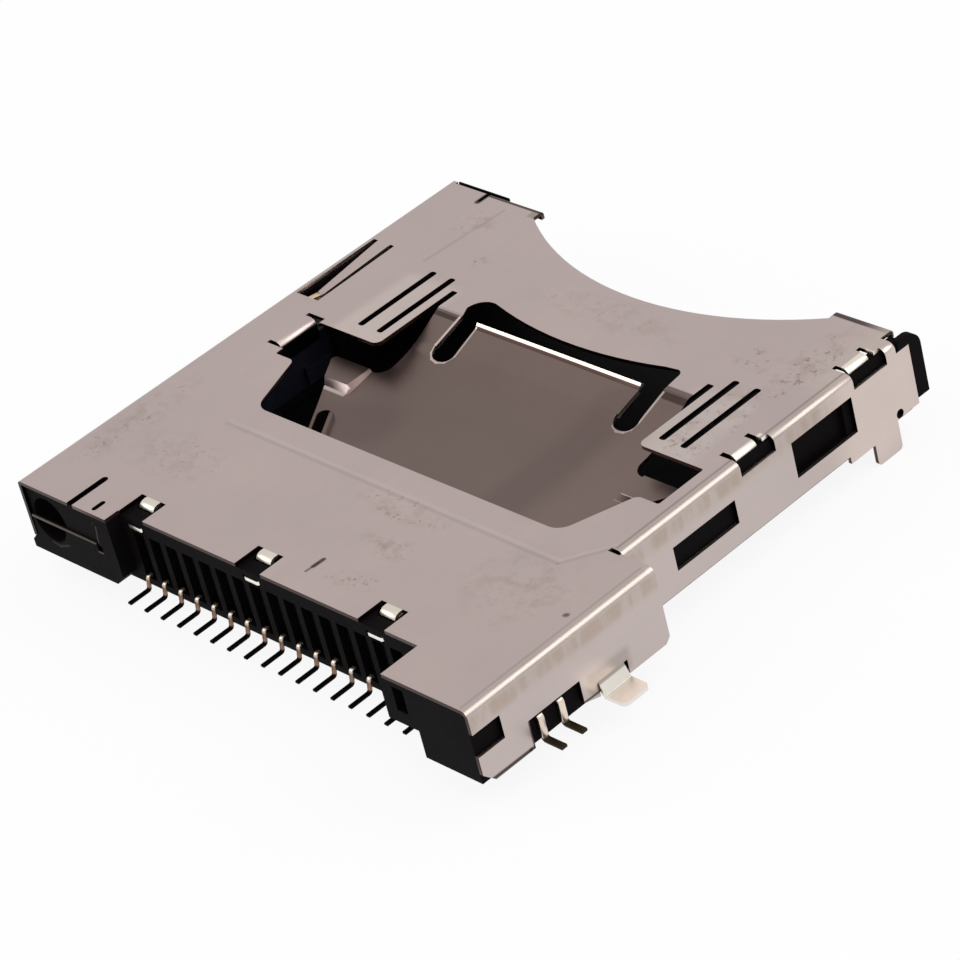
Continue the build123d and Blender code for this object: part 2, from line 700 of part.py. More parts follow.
    # Solder tabs, sloping out of a relieved gap in each flange
    for side, face_x in ((-1, LEFT_X), (1, BLOCK_RIGHT_X)):
        middle_x = face_x - side * SHEET / 2
        cut = (face_x - side * 2 * SHEET, face_x + side * SHEET)
        span_box(
            cut,
            (SOLDER_REAR_Y, SOLDER_REAR_Y + SOLDER_W + RELIEF),
            (0, SOLDER_TOP_Z),
            mode=Mode.SUBTRACT,
        )
        solder_tab = strip(
            Plane.XZ.offset(-SOLDER_REAR_Y - SOLDER_W),
            (
                (middle_x, SOLDER_TOP_Z + RELIEF),
                (middle_x, SOLDER_TOP_Z),
                (middle_x + side * SOLDER_OUT, SOLDER_FOOT_Z),
                (middle_x + side * SOLDER_REACH, SOLDER_FOOT_Z),
            ),
            SOLDER_W,
            SHEET,
            [RELIEF / 2, RELIEF / 2],
        )
        end_face = solder_tab.faces().sort_by(Axis.X)[-1 if side > 0 else 0]
        add(solder_tab.fillet(SOLDER_ROUND, end_face.edges().filter_by(Axis.Z)))
    # Gaps in the rear right flange for the switch tails and behind the block
    right_cut = (BLOCK_RIGHT_X - 2 * SHEET, BLOCK_RIGHT_X + SHEET)
    span_box(right_cut, TAIL_GAP_YS, (0, TAIL_GAP_Z), mode=Mode.SUBTRACT)
    span_box(right_cut, (BLOCK_REAR_Y - RELIEF, REAR_NOTCH_Y), REAR_NOTCH_ZS, mode=Mode.SUBTRACT)
    with BuildSketch(Plane.YZ.offset(BLOCK_RIGHT_X - 2 * SHEET)):
        with BuildLine():
            Polyline(
                (JOG_Y - JOG_CHAMFER, REAR_FLANGE_FOOT_Z),
                (JOG_Y, REAR_FLANGE_FOOT_Z),
                (JOG_Y, REAR_FLANGE_FOOT_Z + JOG_CHAMFER),
                close=True,
            )
        make_face()
        with BuildLine():
            Polyline(
                (BLOCK_REAR_Y + REAR_TAB_ROUND, REAR_FLANGE_FOOT_Z),
                (BLOCK_REAR_Y, REAR_FLANGE_FOOT_Z),
                (BLOCK_REAR_Y, REAR_FLANGE_FOOT_Z + REAR_TAB_ROUND),
                close=True,
            )
        make_face()
    extrude(amount=3 * SHEET, mode=Mode.SUBTRACT)
    # Left flange ends higher over the ledge of the spring block
    span_box(
        (LEFT_X - RELIEF, LEFT_X + 2 * SHEET),
        (LEFT_REAR_Y - RELIEF, LEFT_BLOCK_Y + LEDGE_L + SEAT_CLEAR),
        (0, LEFT_FOOT_Z),
        mode=Mode.SUBTRACT,
    )
    add(pressing_plate.part)

# Moulded housing
with BuildPart() as base_housing:
    # Floor of the card bay, whose underside lies on the board
    span_box(
        (HOUSING_LEFT_X, HOUSING_RIGHT_X),
        (REAR_WALL_FRONT_Y, HOUSING_FRONT_Y),
        (0, FLOOR_TOP),
    )
    mouth_edge = base_housing.edges().filter_by(Axis.X).group_by(Axis.Y)[-1].group_by(Axis.Z)[-1]
    chamfer(mouth_edge, length=MOUTH_CHAMFER)
    # Spring block, rear wall and switch block, standing a little off the board
    with BuildSketch(Plane.XY.offset(BLOCK_UNDERSIDE)):
        with BuildLine():
            Polyline(
                (HOUSING_LEFT_X, REAR_WALL_FRONT_Y),
                (HOUSING_LEFT_X, LEFT_BLOCK_Y),
                (LEFT_STEP_X - SEAT_CLEAR, LEFT_BLOCK_Y),
                (LEFT_STEP_X - SEAT_CLEAR, REAR_WALL_Y),
                (BLOCK_LEFT_X, REAR_WALL_Y),
                (BLOCK_LEFT_X, BLOCK_Y),
                (BLOCK_X, BLOCK_Y),
                (BLOCK_X, BLOCK_FRONT_Y),
                (HOUSING_RIGHT_X, BLOCK_FRONT_Y),
                (HOUSING_RIGHT_X, HOUSING_FRONT_Y),
                (BAY_HALF, HOUSING_FRONT_Y),
                (BAY_HALF, REAR_WALL_FRONT_Y),
                close=True,
            )
        make_face()
    extrude(amount=HOUSING_TOP - BLOCK_UNDERSIDE)
    # Slider channel: outer wall, inner wall and the front block with the pin's seat
    span_box(
        (HOUSING_LEFT_X, CHANNEL_OUTER_X),
        (REAR_WALL_FRONT_Y, CHANNEL_FRONT_Y),
        (0, HOUSING_TOP),
    )
    span_box(
        (CHANNEL_INNER_X, -BAY_HALF),
        (LOW_WALL_Y, CHANNEL_FRONT_Y),
        (0, HOUSING_TOP),
    )
    span_box(
        (CHANNEL_INNER_X, -BAY_HALF),
        (REAR_WALL_FRONT_Y, LOW_WALL_Y),
        (0, LOW_WALL_TOP),
    )
    span_box(
        (HOUSING_LEFT_X, -BAY_HALF),
        (CHANNEL_FRONT_Y, HOUSING_FRONT_Y),
        (0, HOUSING_TOP),
    )
    # Outer top corners cleared for the shell's inner bend
    top_edges = base_housing.edges().filter_by(Axis.Y).group_by(Axis.Z)[-1]
    outer_edges = ShapeList()
    for x in (HOUSING_LEFT_X, HOUSING_RIGHT_X, BLOCK_X):
        outer_edges += top_edges.filter_by_position(Axis.X, x - SEAT_CLEAR, x + SEAT_CLEAR)
    chamfer(outer_edges, length=OUTER_CHAMFER)
    # Post beside the mouth, which stands past the shell's corner
    span_box(
        (POST_INNER_X, HOUSING_RIGHT_X),
        (HOUSING_FRONT_Y, FRONT_Y + SEAT_CLEAR),
        (POST_FOOT_Z, CORNER_CUT_Z + SEAT_CLEAR),
    )
    with BuildSketch(Plane.YZ.offset(POST_INNER_X)):
        with BuildLine():
            FilletPolyline(
                (FRONT_Y + SEAT_CLEAR, POST_FOOT_Z),
                (FRONT_Y + SEAT_CLEAR, CORNER_CUT_Z + SEAT_CLEAR),
                (POST_REAR_Y, CORNER_CUT_Z + SEAT_CLEAR),
                (POST_REAR_Y, POST_TOP),
                (POST_Y, POST_TOP),
                (POST_Y, POST_FOOT_Z),
                radius=[0, 0, BEND, POST_ROUND],
            )
            Line((POST_Y, POST_FOOT_Z), (FRONT_Y + SEAT_CLEAR, POST_FOOT_Z))
        make_face()
    extrude(amount=RIGHT_X - POST_INNER_X)
    # Bumper at the other side of the mouth, in front of the folded lip
    with BuildSketch(Plane.YZ.offset(BUMPER_XS[0])):
        with BuildLine():
            Polyline(
                (HOUSING_FRONT_Y - RELIEF, BLOCK_UNDERSIDE),
                (BUMPER_Y, BLOCK_UNDERSIDE),
                (BUMPER_Y, BUMPER_TOP),
                (BUMPER_Y - BUMPER_W, BUMPER_TOP),
                (BUMPER_Y - BUMPER_W, LIP_FOOT_Z - SEAT_CLEAR),
                (HOUSING_FRONT_Y - RELIEF, LIP_FOOT_Z - SEAT_CLEAR),
                close=True,
            )
        make_face()
    extrude(amount=BUMPER_XS[1] - BUMPER_XS[0])
    # Contact bays between the ribs of the rear wall, and the passages through it
    with BuildSketch(Plane.XY.offset(BAY_FOOT_Z)):
        with Locations(*[(x, REAR_WALL_Y) for x in CONTACT_XS]):
            Rectangle(BAY_W, 2 * BAY_DEPTH)
    extrude(amount=BAY_TOP_Z - BAY_FOOT_Z, mode=Mode.SUBTRACT)
    with BuildSketch(Plane.XZ.offset(-REAR_WALL_FRONT_Y)):
        with Locations(*[(x, CONTACT_PASS_Z) for x in CONTACT_XS]):
            Rectangle(CONTACT_W + 2 * CONTACT_CLEAR, CONTACT_T + 2 * CONTACT_CLEAR)
    extrude(amount=REAR_WALL_FRONT_Y - REAR_WALL_Y, mode=Mode.SUBTRACT)
    # Slots in the floor that the contacts spring into
    with BuildSketch(Plane.XY):
        with Locations(*[(x, sum(FLOOR_SLOT_YS) / 2) for x in CONTACT_XS]):
            Rectangle(FLOOR_SLOT_W, FLOOR_SLOT_YS[1] - FLOOR_SLOT_YS[0])
    extrude(amount=FLOOR_TOP, mode=Mode.SUBTRACT)
    # Shafts and passages for the shell's hooks
    for x in NOTCH_XS:
        hook_span = (x - HOOK_W / 2 - HOOK_CLEAR, x + HOOK_W / 2 + HOOK_CLEAR)
        hook_low = HOOK_Z - SHEET / 2 - HOOK_CLEAR
        span_box(
            hook_span,
            (HOOK_Y - SHEET / 2 - HOOK_CLEAR, REAR_WALL_FRONT_Y + RELIEF),
            (hook_low, HOUSING_TOP + RELIEF),
            mode=Mode.SUBTRACT,
        )
        span_box(
            hook_span,
            (REAR_WALL_Y - RELIEF, REAR_WALL_FRONT_Y),
            (hook_low, HOOK_Z + SHEET / 2 + HOOK_CLEAR),
            mode=Mode.SUBTRACT,
        )
    # Spring block's rear face: round core, upper step and corner pocket
    span_box(
        (HOUSING_LEFT_X - RELIEF, STEP_RIGHT_X),
        (LEFT_BLOCK_Y - RELIEF, LEFT_BLOCK_Y + STEP_DEPTH),
        (STEP_Z, HOUSING_TOP + RELIEF),
        mode=Mode.SUBTRACT,
    )
    with Locations(Plane.XZ.offset(-LEFT_BLOCK_Y - SPRING_HOLE_DEPTH)):
        with Locations((CHANNEL_X, SPRING_HOLE_Z)):
            Cylinder(
                SPRING_HOLE_R,
                2 * SPRING_HOLE_DEPTH,
                align=(Align.CENTER, Align.CENTER, Align.MIN),
                mode=Mode.SUBTRACT,
            )
    span_box(
        (HOUSING_LEFT_X, STEP_RIGHT_X),
        (LEFT_BLOCK_Y, LEFT_BLOCK_Y + 2 * WEB),
        (STEP_Z - WEB, STEP_Z),
    )
    span_box(
        (STEP_RIGHT_X - CORNER_POCKET / 2, STEP_RIGHT_X + CORNER_POCKET / 2),
        (LEFT_BLOCK_Y - RELIEF, LEFT_BLOCK_Y + CORNER_POCKET),
        (STEP_Z - CORNER_POCKET, STEP_Z),
        mode=Mode.SUBTRACT,
    )
    # Lower corner of the block cut away beside the first contact
    with BuildSketch(Plane.XZ.offset(-REAR_WALL_Y)):
        with BuildLine():
            Polyline(
                (LEFT_STEP_X - PILLAR_CUT_W, 0),
                (LEFT_STEP_X - PILLAR_CUT_W, BLOCK_UNDERSIDE),
                (LEFT_STEP_X, BLOCK_UNDERSIDE + PILLAR_CUT_H),
                (LEFT_STEP_X, 0),
                close=True,
            )
        make_face()
    extrude(amount=REAR_WALL_Y - LEFT_BLOCK_Y, mode=Mode.SUBTRACT)
    # Ledge outside the shell along the spring block
    with BuildSketch(Plane.XZ.offset(-LEFT_BLOCK_Y - LEDGE_L)):
        with BuildLine():
            Polyline(
                (HOUSING_LEFT_X, BLOCK_UNDERSIDE),
                (LEFT_X - LEDGE_OUT, BLOCK_UNDERSIDE),
                (LEFT_X - LEDGE_OUT, LEDGE_TOP_Z - LEDGE_OUT),
                (LEFT_X, LEDGE_TOP_Z),
                (HOUSING_LEFT_X, LEDGE_TOP_Z),
                close=True,
            )
        make_face()
    extrude(amount=LEDGE_L)
    # Pilot that holds the spring's rear end
    with Locations(Plane.XZ.offset(-REAR_WALL_FRONT_Y - PILOT_L)):
        with Locations((CHANNEL_X, SPRING_Z)):
            Cylinder(PILOT_R, PILOT_L, align=(Align.CENTER, Align.CENTER, Align.MIN))
    # Switch block: slot in its rear face, undercut and the switch's pocket
    span_box(
        BLOCK_SLOT_XS,
        (BLOCK_Y - RELIEF, BLOCK_Y + BLOCK_SLOT_DEPTH),
        BLOCK_SLOT_ZS,
        mode=Mode.SUBTRACT,
    )
    span_box(
        (BLOCK_LEFT_X - RELIEF, UNDERCUT_X),
        (BLOCK_Y - RELIEF, REAR_WALL_Y),
        (0, UNDERCUT_Z),
        mode=Mode.SUBTRACT,
    )
    span_box(POCKET_XS, POCKET_YS, (POCKET_FLOOR_Z, HOUSING_TOP + RELIEF), mode=Mode.SUBTRACT)
    switch_zs = (SWITCH_PASS_Z - SWITCH_T / 2 - CONTACT_CLEAR, SWITCH_PASS_Z + SWITCH_T / 2 + CONTACT_CLEAR)
    for y in (SWITCH_FIXED_Y, SWITCH_MOVING_Y):
        span_box(
            (POCKET_XS[1] - RELIEF, BLOCK_X + RELIEF),
            (y - SWITCH_W / 2 - CONTACT_CLEAR, y + SWITCH_W / 2 + CONTACT_CLEAR),
            switch_zs,
            mode=Mode.SUBTRACT,
        )
    span_box(
        (BAY_HALF - RELIEF, POCKET_XS[0] + RELIEF),
        (SWITCH_MOVING_Y - SWITCH_W, SWITCH_MOVING_Y + SWITCH_W),
        (MOVING_NOSE_Z - SWITCH_W, MOVING_NOSE_Z + SWITCH_W),
        mode=Mode.SUBTRACT,
    )
    # Seats for the guide tabs and the tall window's pocket
    for rear_y in RIGHT_TAB_REAR_YS:
        span_box(
            (BAY_HALF, TAB_SKIN_X),
            (rear_y - RUN_CLEAR, rear_y + RIGHT_TAB_L + RUN_CLEAR),
            (TAB_FOOT_Z - RUN_CLEAR, HOUSING_TOP),
            mode=Mode.SUBTRACT,
        )
    span_box(
        (WINDOW_POCKET_X, HOUSING_RIGHT_X),
        (TALL_WINDOW_YS[0], TALL_WINDOW_YS[1] - 2 * RELIEF),
        TALL_WINDOW_ZS,
        mode=Mode.SUBTRACT,
    )
    # Pin's seat in the front block: a relief for the wire and the pivot hole
    span_box(
        (PIN_X - 3 * PIN_R, PIN_X + 3 * PIN_R),
        (CHANNEL_FRONT_Y, PIN_PIVOT_Y + 2 * PIN_R),
        (PIN_Z - PIN_R - PIN_CLEAR, HOUSING_TOP),
        mode=Mode.SUBTRACT,
    )
    with Locations((PIN_X, PIN_PIVOT_Y, PIN_Z - PIN_LEG - PIN_CLEAR)):
        Cylinder(
            PIN_R + PIN_CLEAR,
            PIN_LEG,
            align=(Align.CENTER, Align.CENTER, Align.MIN),
            mode=Mode.SUBTRACT,
        )

# Signal contacts, one strip each
contacts = []
for index, x in enumerate(CONTACT_XS, start=1):
    contact = strip(
        Plane.YZ.offset(x - CONTACT_W / 2),
        (
            (TAIL_TIP_Y, TAIL_Z),
            (TAIL_ELBOW_Y, TAIL_Z),
            (REAR_WALL_Y - CONTACT_T, CONTACT_PASS_Z),
            (CONTACT_RISE_Y, CONTACT_PASS_Z),
            (CONTACT_CREST_Y, CONTACT_CREST_Z),
            (CONTACT_END_Y, CONTACT_END_Z),
        ),
        CONTACT_W,
        CONTACT_T,
        CONTACT_BEND,
    )
    contact.label = f"contact_{index:02d}"
    contacts.append(contact)

# Detect switch: fixed strip with an upright blade, moving strip with a nose in the bay
switch_tail = (
    (SWITCH_TIP_X, TAIL_Z),
    (SWITCH_OUT_X, TAIL_Z),
    (SWITCH_OUT_X, SWITCH_PASS_Z),
)
switch_fixed_contact = strip(
    Plane.XZ.offset(-SWITCH_FIXED_Y - SWITCH_W / 2),
    (*switch_tail, (FIXED_BLADE_X, SWITCH_PASS_Z), (FIXED_BLADE_X, FIXED_BLADE_Z)),
    SWITCH_W,
    SWITCH_T,
    CONTACT_BEND,
)
switch_fixed_contact.label = "switch_fixed_contact"
switch_moving_contact = strip(
    Plane.XZ.offset(-SWITCH_MOVING_Y - SWITCH_W / 2),
    (
        *switch_tail,
        (MOVING_RISE_X, SWITCH_PASS_Z),
        (POCKET_XS[0], MOVING_NOSE_Z),
        (MOVING_NOSE_X, MOVING_NOSE_Z),
    ),
    SWITCH_W,
    SWITCH_T,
    CONTACT_BEND,
)
switch_moving_contact.label = "switch_moving_contact"

# Eject slider: body, card lug, spring bore and heart-shaped cam groove
with BuildPart() as eject_slider:
    span_box(
        (CHANNEL_OUTER_X + RUN_CLEAR, CHANNEL_INNER_X - RUN_CLEAR),
        (SLIDER_REAR_Y, SLIDER_FRONT_Y),
        (SLIDER_FOOT_Z, SLIDER_TOP),
    )
    chamfer(eject_slider.edges().filter_by(Axis.Y), length=RUN_CLEAR)
    with Locations(Plane.XZ.offset(-SPRING_BORE_END_Y)):
        with Locations((CHANNEL_X, SPRING_Z)):
            Cylinder(
                SPRING_BORE_R,
                SPRING_BORE_END_Y - SLIDER_REAR_Y,
                align=(Align.CENTER, Align.CENTER, Align.MIN),
                mode=Mode.SUBTRACT,
            )
    span_box((CHANNEL_X, PAD_X), PAD_YS, (LOW_WALL_TOP + RUN_CLEAR, PAD_TOP))
    with BuildSketch(Plane.XY.offset(LUG_FOOT_Z)):
        with BuildLine():
            FilletPolyline(
                (CHANNEL_INNER_X - 2 * RUN_CLEAR, LUG_FRONT_Y),
                (LUG_X, LUG_FRONT_Y),
                (LUG_X, LUG_FRONT_Y - LUG_L),
                (CHANNEL_INNER_X - 2 * RUN_CLEAR, LUG_FRONT_Y - LUG_L),
                radius=LUG_ROUND,
            )
            Line(
                (CHANNEL_INNER_X - 2 * RUN_CLEAR, LUG_FRONT_Y - LUG_L),
                (CHANNEL_INNER_X - 2 * RUN_CLEAR, LUG_FRONT_Y),
            )
        make_face()
    extrude(amount=LUG_TOP - LUG_FOOT_Z)
    with BuildSketch(Plane.XY.offset(CAM_FLOOR_Z)):
        with BuildLine():
            Polyline(
                (PIN_X, PIN_TIP_Y),
                (PIN_X - CAM_SWING, PIN_TIP_Y + TRAVEL),
                (PIN_X + CAM_SWING / 2, PIN_TIP_Y + TRAVEL - CAM_GROOVE_W),
                (PIN_X + 2 * CAM_SWING, PIN_TIP_Y + TRAVEL - 3 * CAM_GROOVE_W),
                close=True,
            )
        trace(line_width=CAM_GROOVE_W)
        with Locations((PIN_X, PIN_TIP_Y), (PIN_X - CAM_SWING, PIN_TIP_Y + TRAVEL)):
            Circle(CAM_GROOVE_W / 2)
    extrude(amount=CAM_DEPTH, mode=Mode.SUBTRACT)

# Cam follower pin, a bent wire with a leg in the housing and a tip in the groove
with BuildPart() as cam_pin:
    with BuildLine(Plane.YZ.offset(PIN_X)) as wire:
        FilletPolyline(
            (PIN_PIVOT_Y, PIN_Z - PIN_LEG),
            (PIN_PIVOT_Y, PIN_Z),
            (PIN_TIP_Y, PIN_Z),
            (PIN_TIP_Y, CAM_FLOOR_Z + PIN_CLEAR),
            radius=PIN_BEND,
        )
    with BuildSketch(Plane(wire.line @ 0, z_dir=wire.line % 0)):
        RegularPolygon(PIN_R, PIN_SIDES)
    sweep(path=wire.line)

# Return spring between the rear block and the slider's bore
with BuildPart() as eject_spring:
    with BuildLine() as coil:
        Helix(
            pitch=(SPRING_BORE_END_Y - REAR_WALL_FRONT_Y - 2 * WIRE_R) / COIL_TURNS,
            height=SPRING_BORE_END_Y - REAR_WALL_FRONT_Y - 2 * WIRE_R,
            radius=COIL_R,
            center=(CHANNEL_X, REAR_WALL_FRONT_Y + WIRE_R, SPRING_Z),
            direction=(0, 1, 0),
        )
    with BuildSketch(Plane(coil.line @ 0, z_dir=coil.line % 0)):
        RegularPolygon(WIRE_R, WIRE_SIDES)
    sweep(path=coil.line, is_frenet=True)

top_shell.part.label = "top_shell"
base_housing.part.label = "base_housing"
eject_slider.part.label = "eject_slider"
cam_pin.part.label = "cam_pin"
eject_spring.part.label = "eject_spring"
pieces = [
    top_shell.part,
    base_housing.part,
    eject_slider.part,
    cam_pin.part,
    eject_spring.part,
    switch_fixed_contact,
    switch_moving_contact,
    *contacts,
]
for piece in pieces:
    export_step(piece, f"parts/{piece.label}.step")
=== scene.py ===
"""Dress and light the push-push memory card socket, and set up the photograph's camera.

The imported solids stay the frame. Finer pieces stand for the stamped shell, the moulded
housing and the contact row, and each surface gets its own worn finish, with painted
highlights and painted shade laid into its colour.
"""

import logging
from dataclasses import dataclass
from enum import Enum
from itertools import product
from math import acos, cos, radians, sin, tan

import bpy
from mathutils import Matrix, Vector


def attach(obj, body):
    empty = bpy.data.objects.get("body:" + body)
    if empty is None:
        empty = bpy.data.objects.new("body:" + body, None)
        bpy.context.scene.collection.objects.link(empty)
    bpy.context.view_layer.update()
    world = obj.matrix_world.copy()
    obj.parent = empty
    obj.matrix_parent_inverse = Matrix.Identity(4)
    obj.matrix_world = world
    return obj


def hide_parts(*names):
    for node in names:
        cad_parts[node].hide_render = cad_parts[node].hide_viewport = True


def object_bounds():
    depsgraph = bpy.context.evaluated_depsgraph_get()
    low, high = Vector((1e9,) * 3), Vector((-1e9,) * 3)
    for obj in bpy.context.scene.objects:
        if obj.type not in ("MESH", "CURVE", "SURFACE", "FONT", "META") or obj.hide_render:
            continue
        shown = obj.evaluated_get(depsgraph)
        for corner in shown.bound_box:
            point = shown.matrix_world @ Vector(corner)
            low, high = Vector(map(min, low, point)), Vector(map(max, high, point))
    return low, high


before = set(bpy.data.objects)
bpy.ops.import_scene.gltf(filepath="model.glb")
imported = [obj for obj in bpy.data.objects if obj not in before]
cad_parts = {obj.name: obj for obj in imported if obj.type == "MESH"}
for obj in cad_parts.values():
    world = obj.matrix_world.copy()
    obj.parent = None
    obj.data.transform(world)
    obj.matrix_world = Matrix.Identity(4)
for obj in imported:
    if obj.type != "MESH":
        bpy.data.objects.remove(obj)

log = logging.getLogger("card_socket")

MM = 0.001
ROOT_BODY = "socket"
HOOK_XS = (-11.38, -0.85, 9.68)
CAD_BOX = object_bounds()

UP = (0.0, 0.0, 1.0)
FORWARD = (0.0, 1.0, 0.0)
# height of the top's upper face, in millimetres
TOP = 5.2

Triple = tuple[float, float, float]
Pair = tuple[float, float]
Colour = tuple[int, int, int]
Material = bpy.types.Material
Node = bpy.types.Node
NodeSocket = bpy.types.NodeSocket
NodeTree = bpy.types.NodeTree
Object = bpy.types.Object


class Slot(Enum):
    """The record's material slots, named for the modelled pieces."""

    HOUSING = "housing_plastic"
    SHELL = "shell_sheet"
    CONTACT = "contact_metal"


# ---- node trees


def linear(red: int, green: int, blue: int) -> tuple[float, ...]:
    """Return a screen colour, 0 to 255 a channel, as scene-linear values."""
    parts = (value / 255 for value in (red, green, blue))
    return (*(p / 12.92 if p <= 0.04045 else ((p + 0.055) / 1.055) ** 2.4 for p in parts), 1.0)


# a Mix node's colour sockets
MIX_FIRST = 6
MIX_SECOND = 7
MIX_RESULT = 2
NUMBER = "NodeSocketFloat"

# how each effect's noise is stretched along X, Y and Z
STREAK_STRETCH = (2.2, 0.16, 2.2)
GRAIN_STRETCH = (9.0, 3.0, 9.0)
SMEAR_STRETCH = (1.0, 1.0, 0.22)
FLOW_STRETCH = (0.5, 1.6, 0.5)

# how coarse its noise is, and between which levels its mask grows
CLOUD_SCALE = 0.16
CLOUD_GAIN = 1.2
SKIN_SCALE = 14.0
PIT_LEVEL = 0.78
PIT_SPREAD = 0.22
PIT_BORDER = 0.1
STAIN_BORDER = 0.16
SMEAR_LEVELS = (0.38, 0.62)
PATCH_CORE = 0.35
PAINTED_LINE_BORDER = (0.4, 1.3)


class Graph:
    """Adds nodes to one shader tree and joins them.

    Args:
        tree: The node tree that is being filled.
    """

    def __init__(self, tree: NodeTree) -> None:
        """Keep the tree, and a place for the next node."""
        self.tree = tree
        self.column = 0

    def node(self, kind: str, **settings: object) -> Node:
        """Add one node and set its properties.

        Args:
            kind: The node's type, without the word ShaderNode.
            settings: Properties of the node by name.

        Returns:
            The new node.
        """
        made = self.tree.nodes.new("ShaderNode" + kind)
        made.location = (180 * self.column, 0)
        self.column += 1
        for name, value in settings.items():
            setattr(made, name, value)
        return made

    def feed(self, socket: NodeSocket, value: object) -> None:
        """Give a socket either a link or a fixed value."""
        if isinstance(value, NodeSocket):
            self.tree.links.new(value, socket)
        else:
            socket.default_value = value

    def math(self, operation: str, first: object, second: object = 0.0) -> NodeSocket:
        """Return the result of a two-value calculation."""
        made = self.node("Math", operation=operation)
        self.feed(made.inputs[0], first)
        self.feed(made.inputs[1], second)
        return made.outputs[0]

    def times(self, first: object, second: object) -> NodeSocket:
        """Return a product."""
        return self.math("MULTIPLY", first, second)

    def sway(self, value: object, swing: float, middle: float) -> NodeSocket:
        """Return a value times its swing, moved to a new middle."""
        return self.math("ADD", self.times(value, swing), middle)

    def vector(
        self, operation: str, first: object, second: object, out: int | str = 0
    ) -> NodeSocket:
        """Return one output of a vector calculation."""
        made = self.node("VectorMath", operation=operation)
        self.feed(made.inputs[0], first)
        self.feed(made.inputs[1], second)
        return made.outputs[out]

    def length(self, vector: object) -> NodeSocket:
        """Return a vector's length."""
        made = self.node("VectorMath", operation="LENGTH")
        self.feed(made.inputs[0], vector)
        return made.outputs["Value"]

    def span(
        self, value: object, low: float, high: object, to_low: float = 0.0, to_high: float = 1.0
    ) -> NodeSocket:
        """Return a value carried smoothly from one range to another.

        Args:
            value: What is read.
            low: Where the range starts.
            high: Where it ends.
            to_low: What the start becomes.
            to_high: What the end becomes.

        Returns:
            The output socket.
        """
        made = self.node("MapRange", interpolation_type="SMOOTHSTEP", clamp=True)
        for socket, given in zip(made.inputs, (value, low, high, to_low, to_high)):
            self.feed(socket, given)
        return made.outputs[0]

    def rise(self, value: object, ends: Pair) -> NodeSocket:
        """Return a value that goes from 0 to 1 between two places in millimetres."""
        return self.span(value, ends[0] * MM, ends[1] * MM)

    def fall(self, value: object, ends: Pair) -> NodeSocket:
        """Return a value that goes from 1 to 0 between two places in millimetres."""
        return self.span(value, ends[0] * MM, ends[1] * MM, 1.0, 0.0)

    def noise(
        self, vector: object, scale: object, detail: float, roughness: float = 0.55
    ) -> NodeSocket:
        """Return a noise value from 0 to 1."""
        made = self.node("TexNoise")
        values = {"Vector": vector, "Scale": scale, "Detail": detail, "Roughness": roughness}
        for name, given in values.items():
            self.feed(made.inputs[name], given)
        return made.outputs[0]

    def blend(
        self, factor: object, first: object, second: object, kind: str = "MIX"
    ) -> NodeSocket:
        """Return one colour laid over another.

        Args:
            factor: How much of the second colour shows.
            first: The colour below, a link or a fixed screen colour.
            second: The colour above, likewise.
            kind: The blend's type.

        Returns:
            The colour socket.
        """
        made = self.node("Mix", data_type="RGBA", blend_type=kind, clamp_factor=True)
        self.feed(made.inputs[0], factor)
        for place, colour in ((MIX_FIRST, first), (MIX_SECOND, second)):
            fixed = isinstance(colour, tuple)
            self.feed(made.inputs[place], linear(*colour) if fixed else colour)
        return made.outputs[MIX_RESULT]

    def group(self, made_of: NodeTree, **values: object) -> Node:
        """Place a node group and fill its inputs by name."""
        made = self.node("Group", node_tree=made_of)
        for name, value in values.items():
            self.feed(made.inputs[name], value)
        return made

    def mask(self, made_of: NodeTree, **values: object) -> NodeSocket:
        """Place an effect's node group and return its mask."""
        return self.group(made_of, **values).outputs["Mask"]

    def place(self, stretch: Triple = (1.0, 1.0, 1.0)) -> NodeSocket:
        """Return the place on the piece in millimetres, scaled along each axis."""
        spot = self.node("TexCoord").outputs["Object"]
        return self.vector("MULTIPLY", spot, tuple(part / MM for part in stretch))

    def swing(self, value: object, gain: object) -> NodeSocket:
        """Return a value from 0 to 1 as a swing round zero, times a gain."""
        return self.times(self.math("SUBTRACT", value, 0.5), gain)

    def done(self, **results: object) -> NodeTree:
        """Give the values out of this node group by name and return its tree."""
        for label in results:
            self.tree.interface.new_socket(label, in_out="OUTPUT", socket_type=NUMBER)
        end = self.tree.nodes.new("NodeGroupOutput")
        for label, value in results.items():
            self.feed(end.inputs[label], value)
        return self.tree


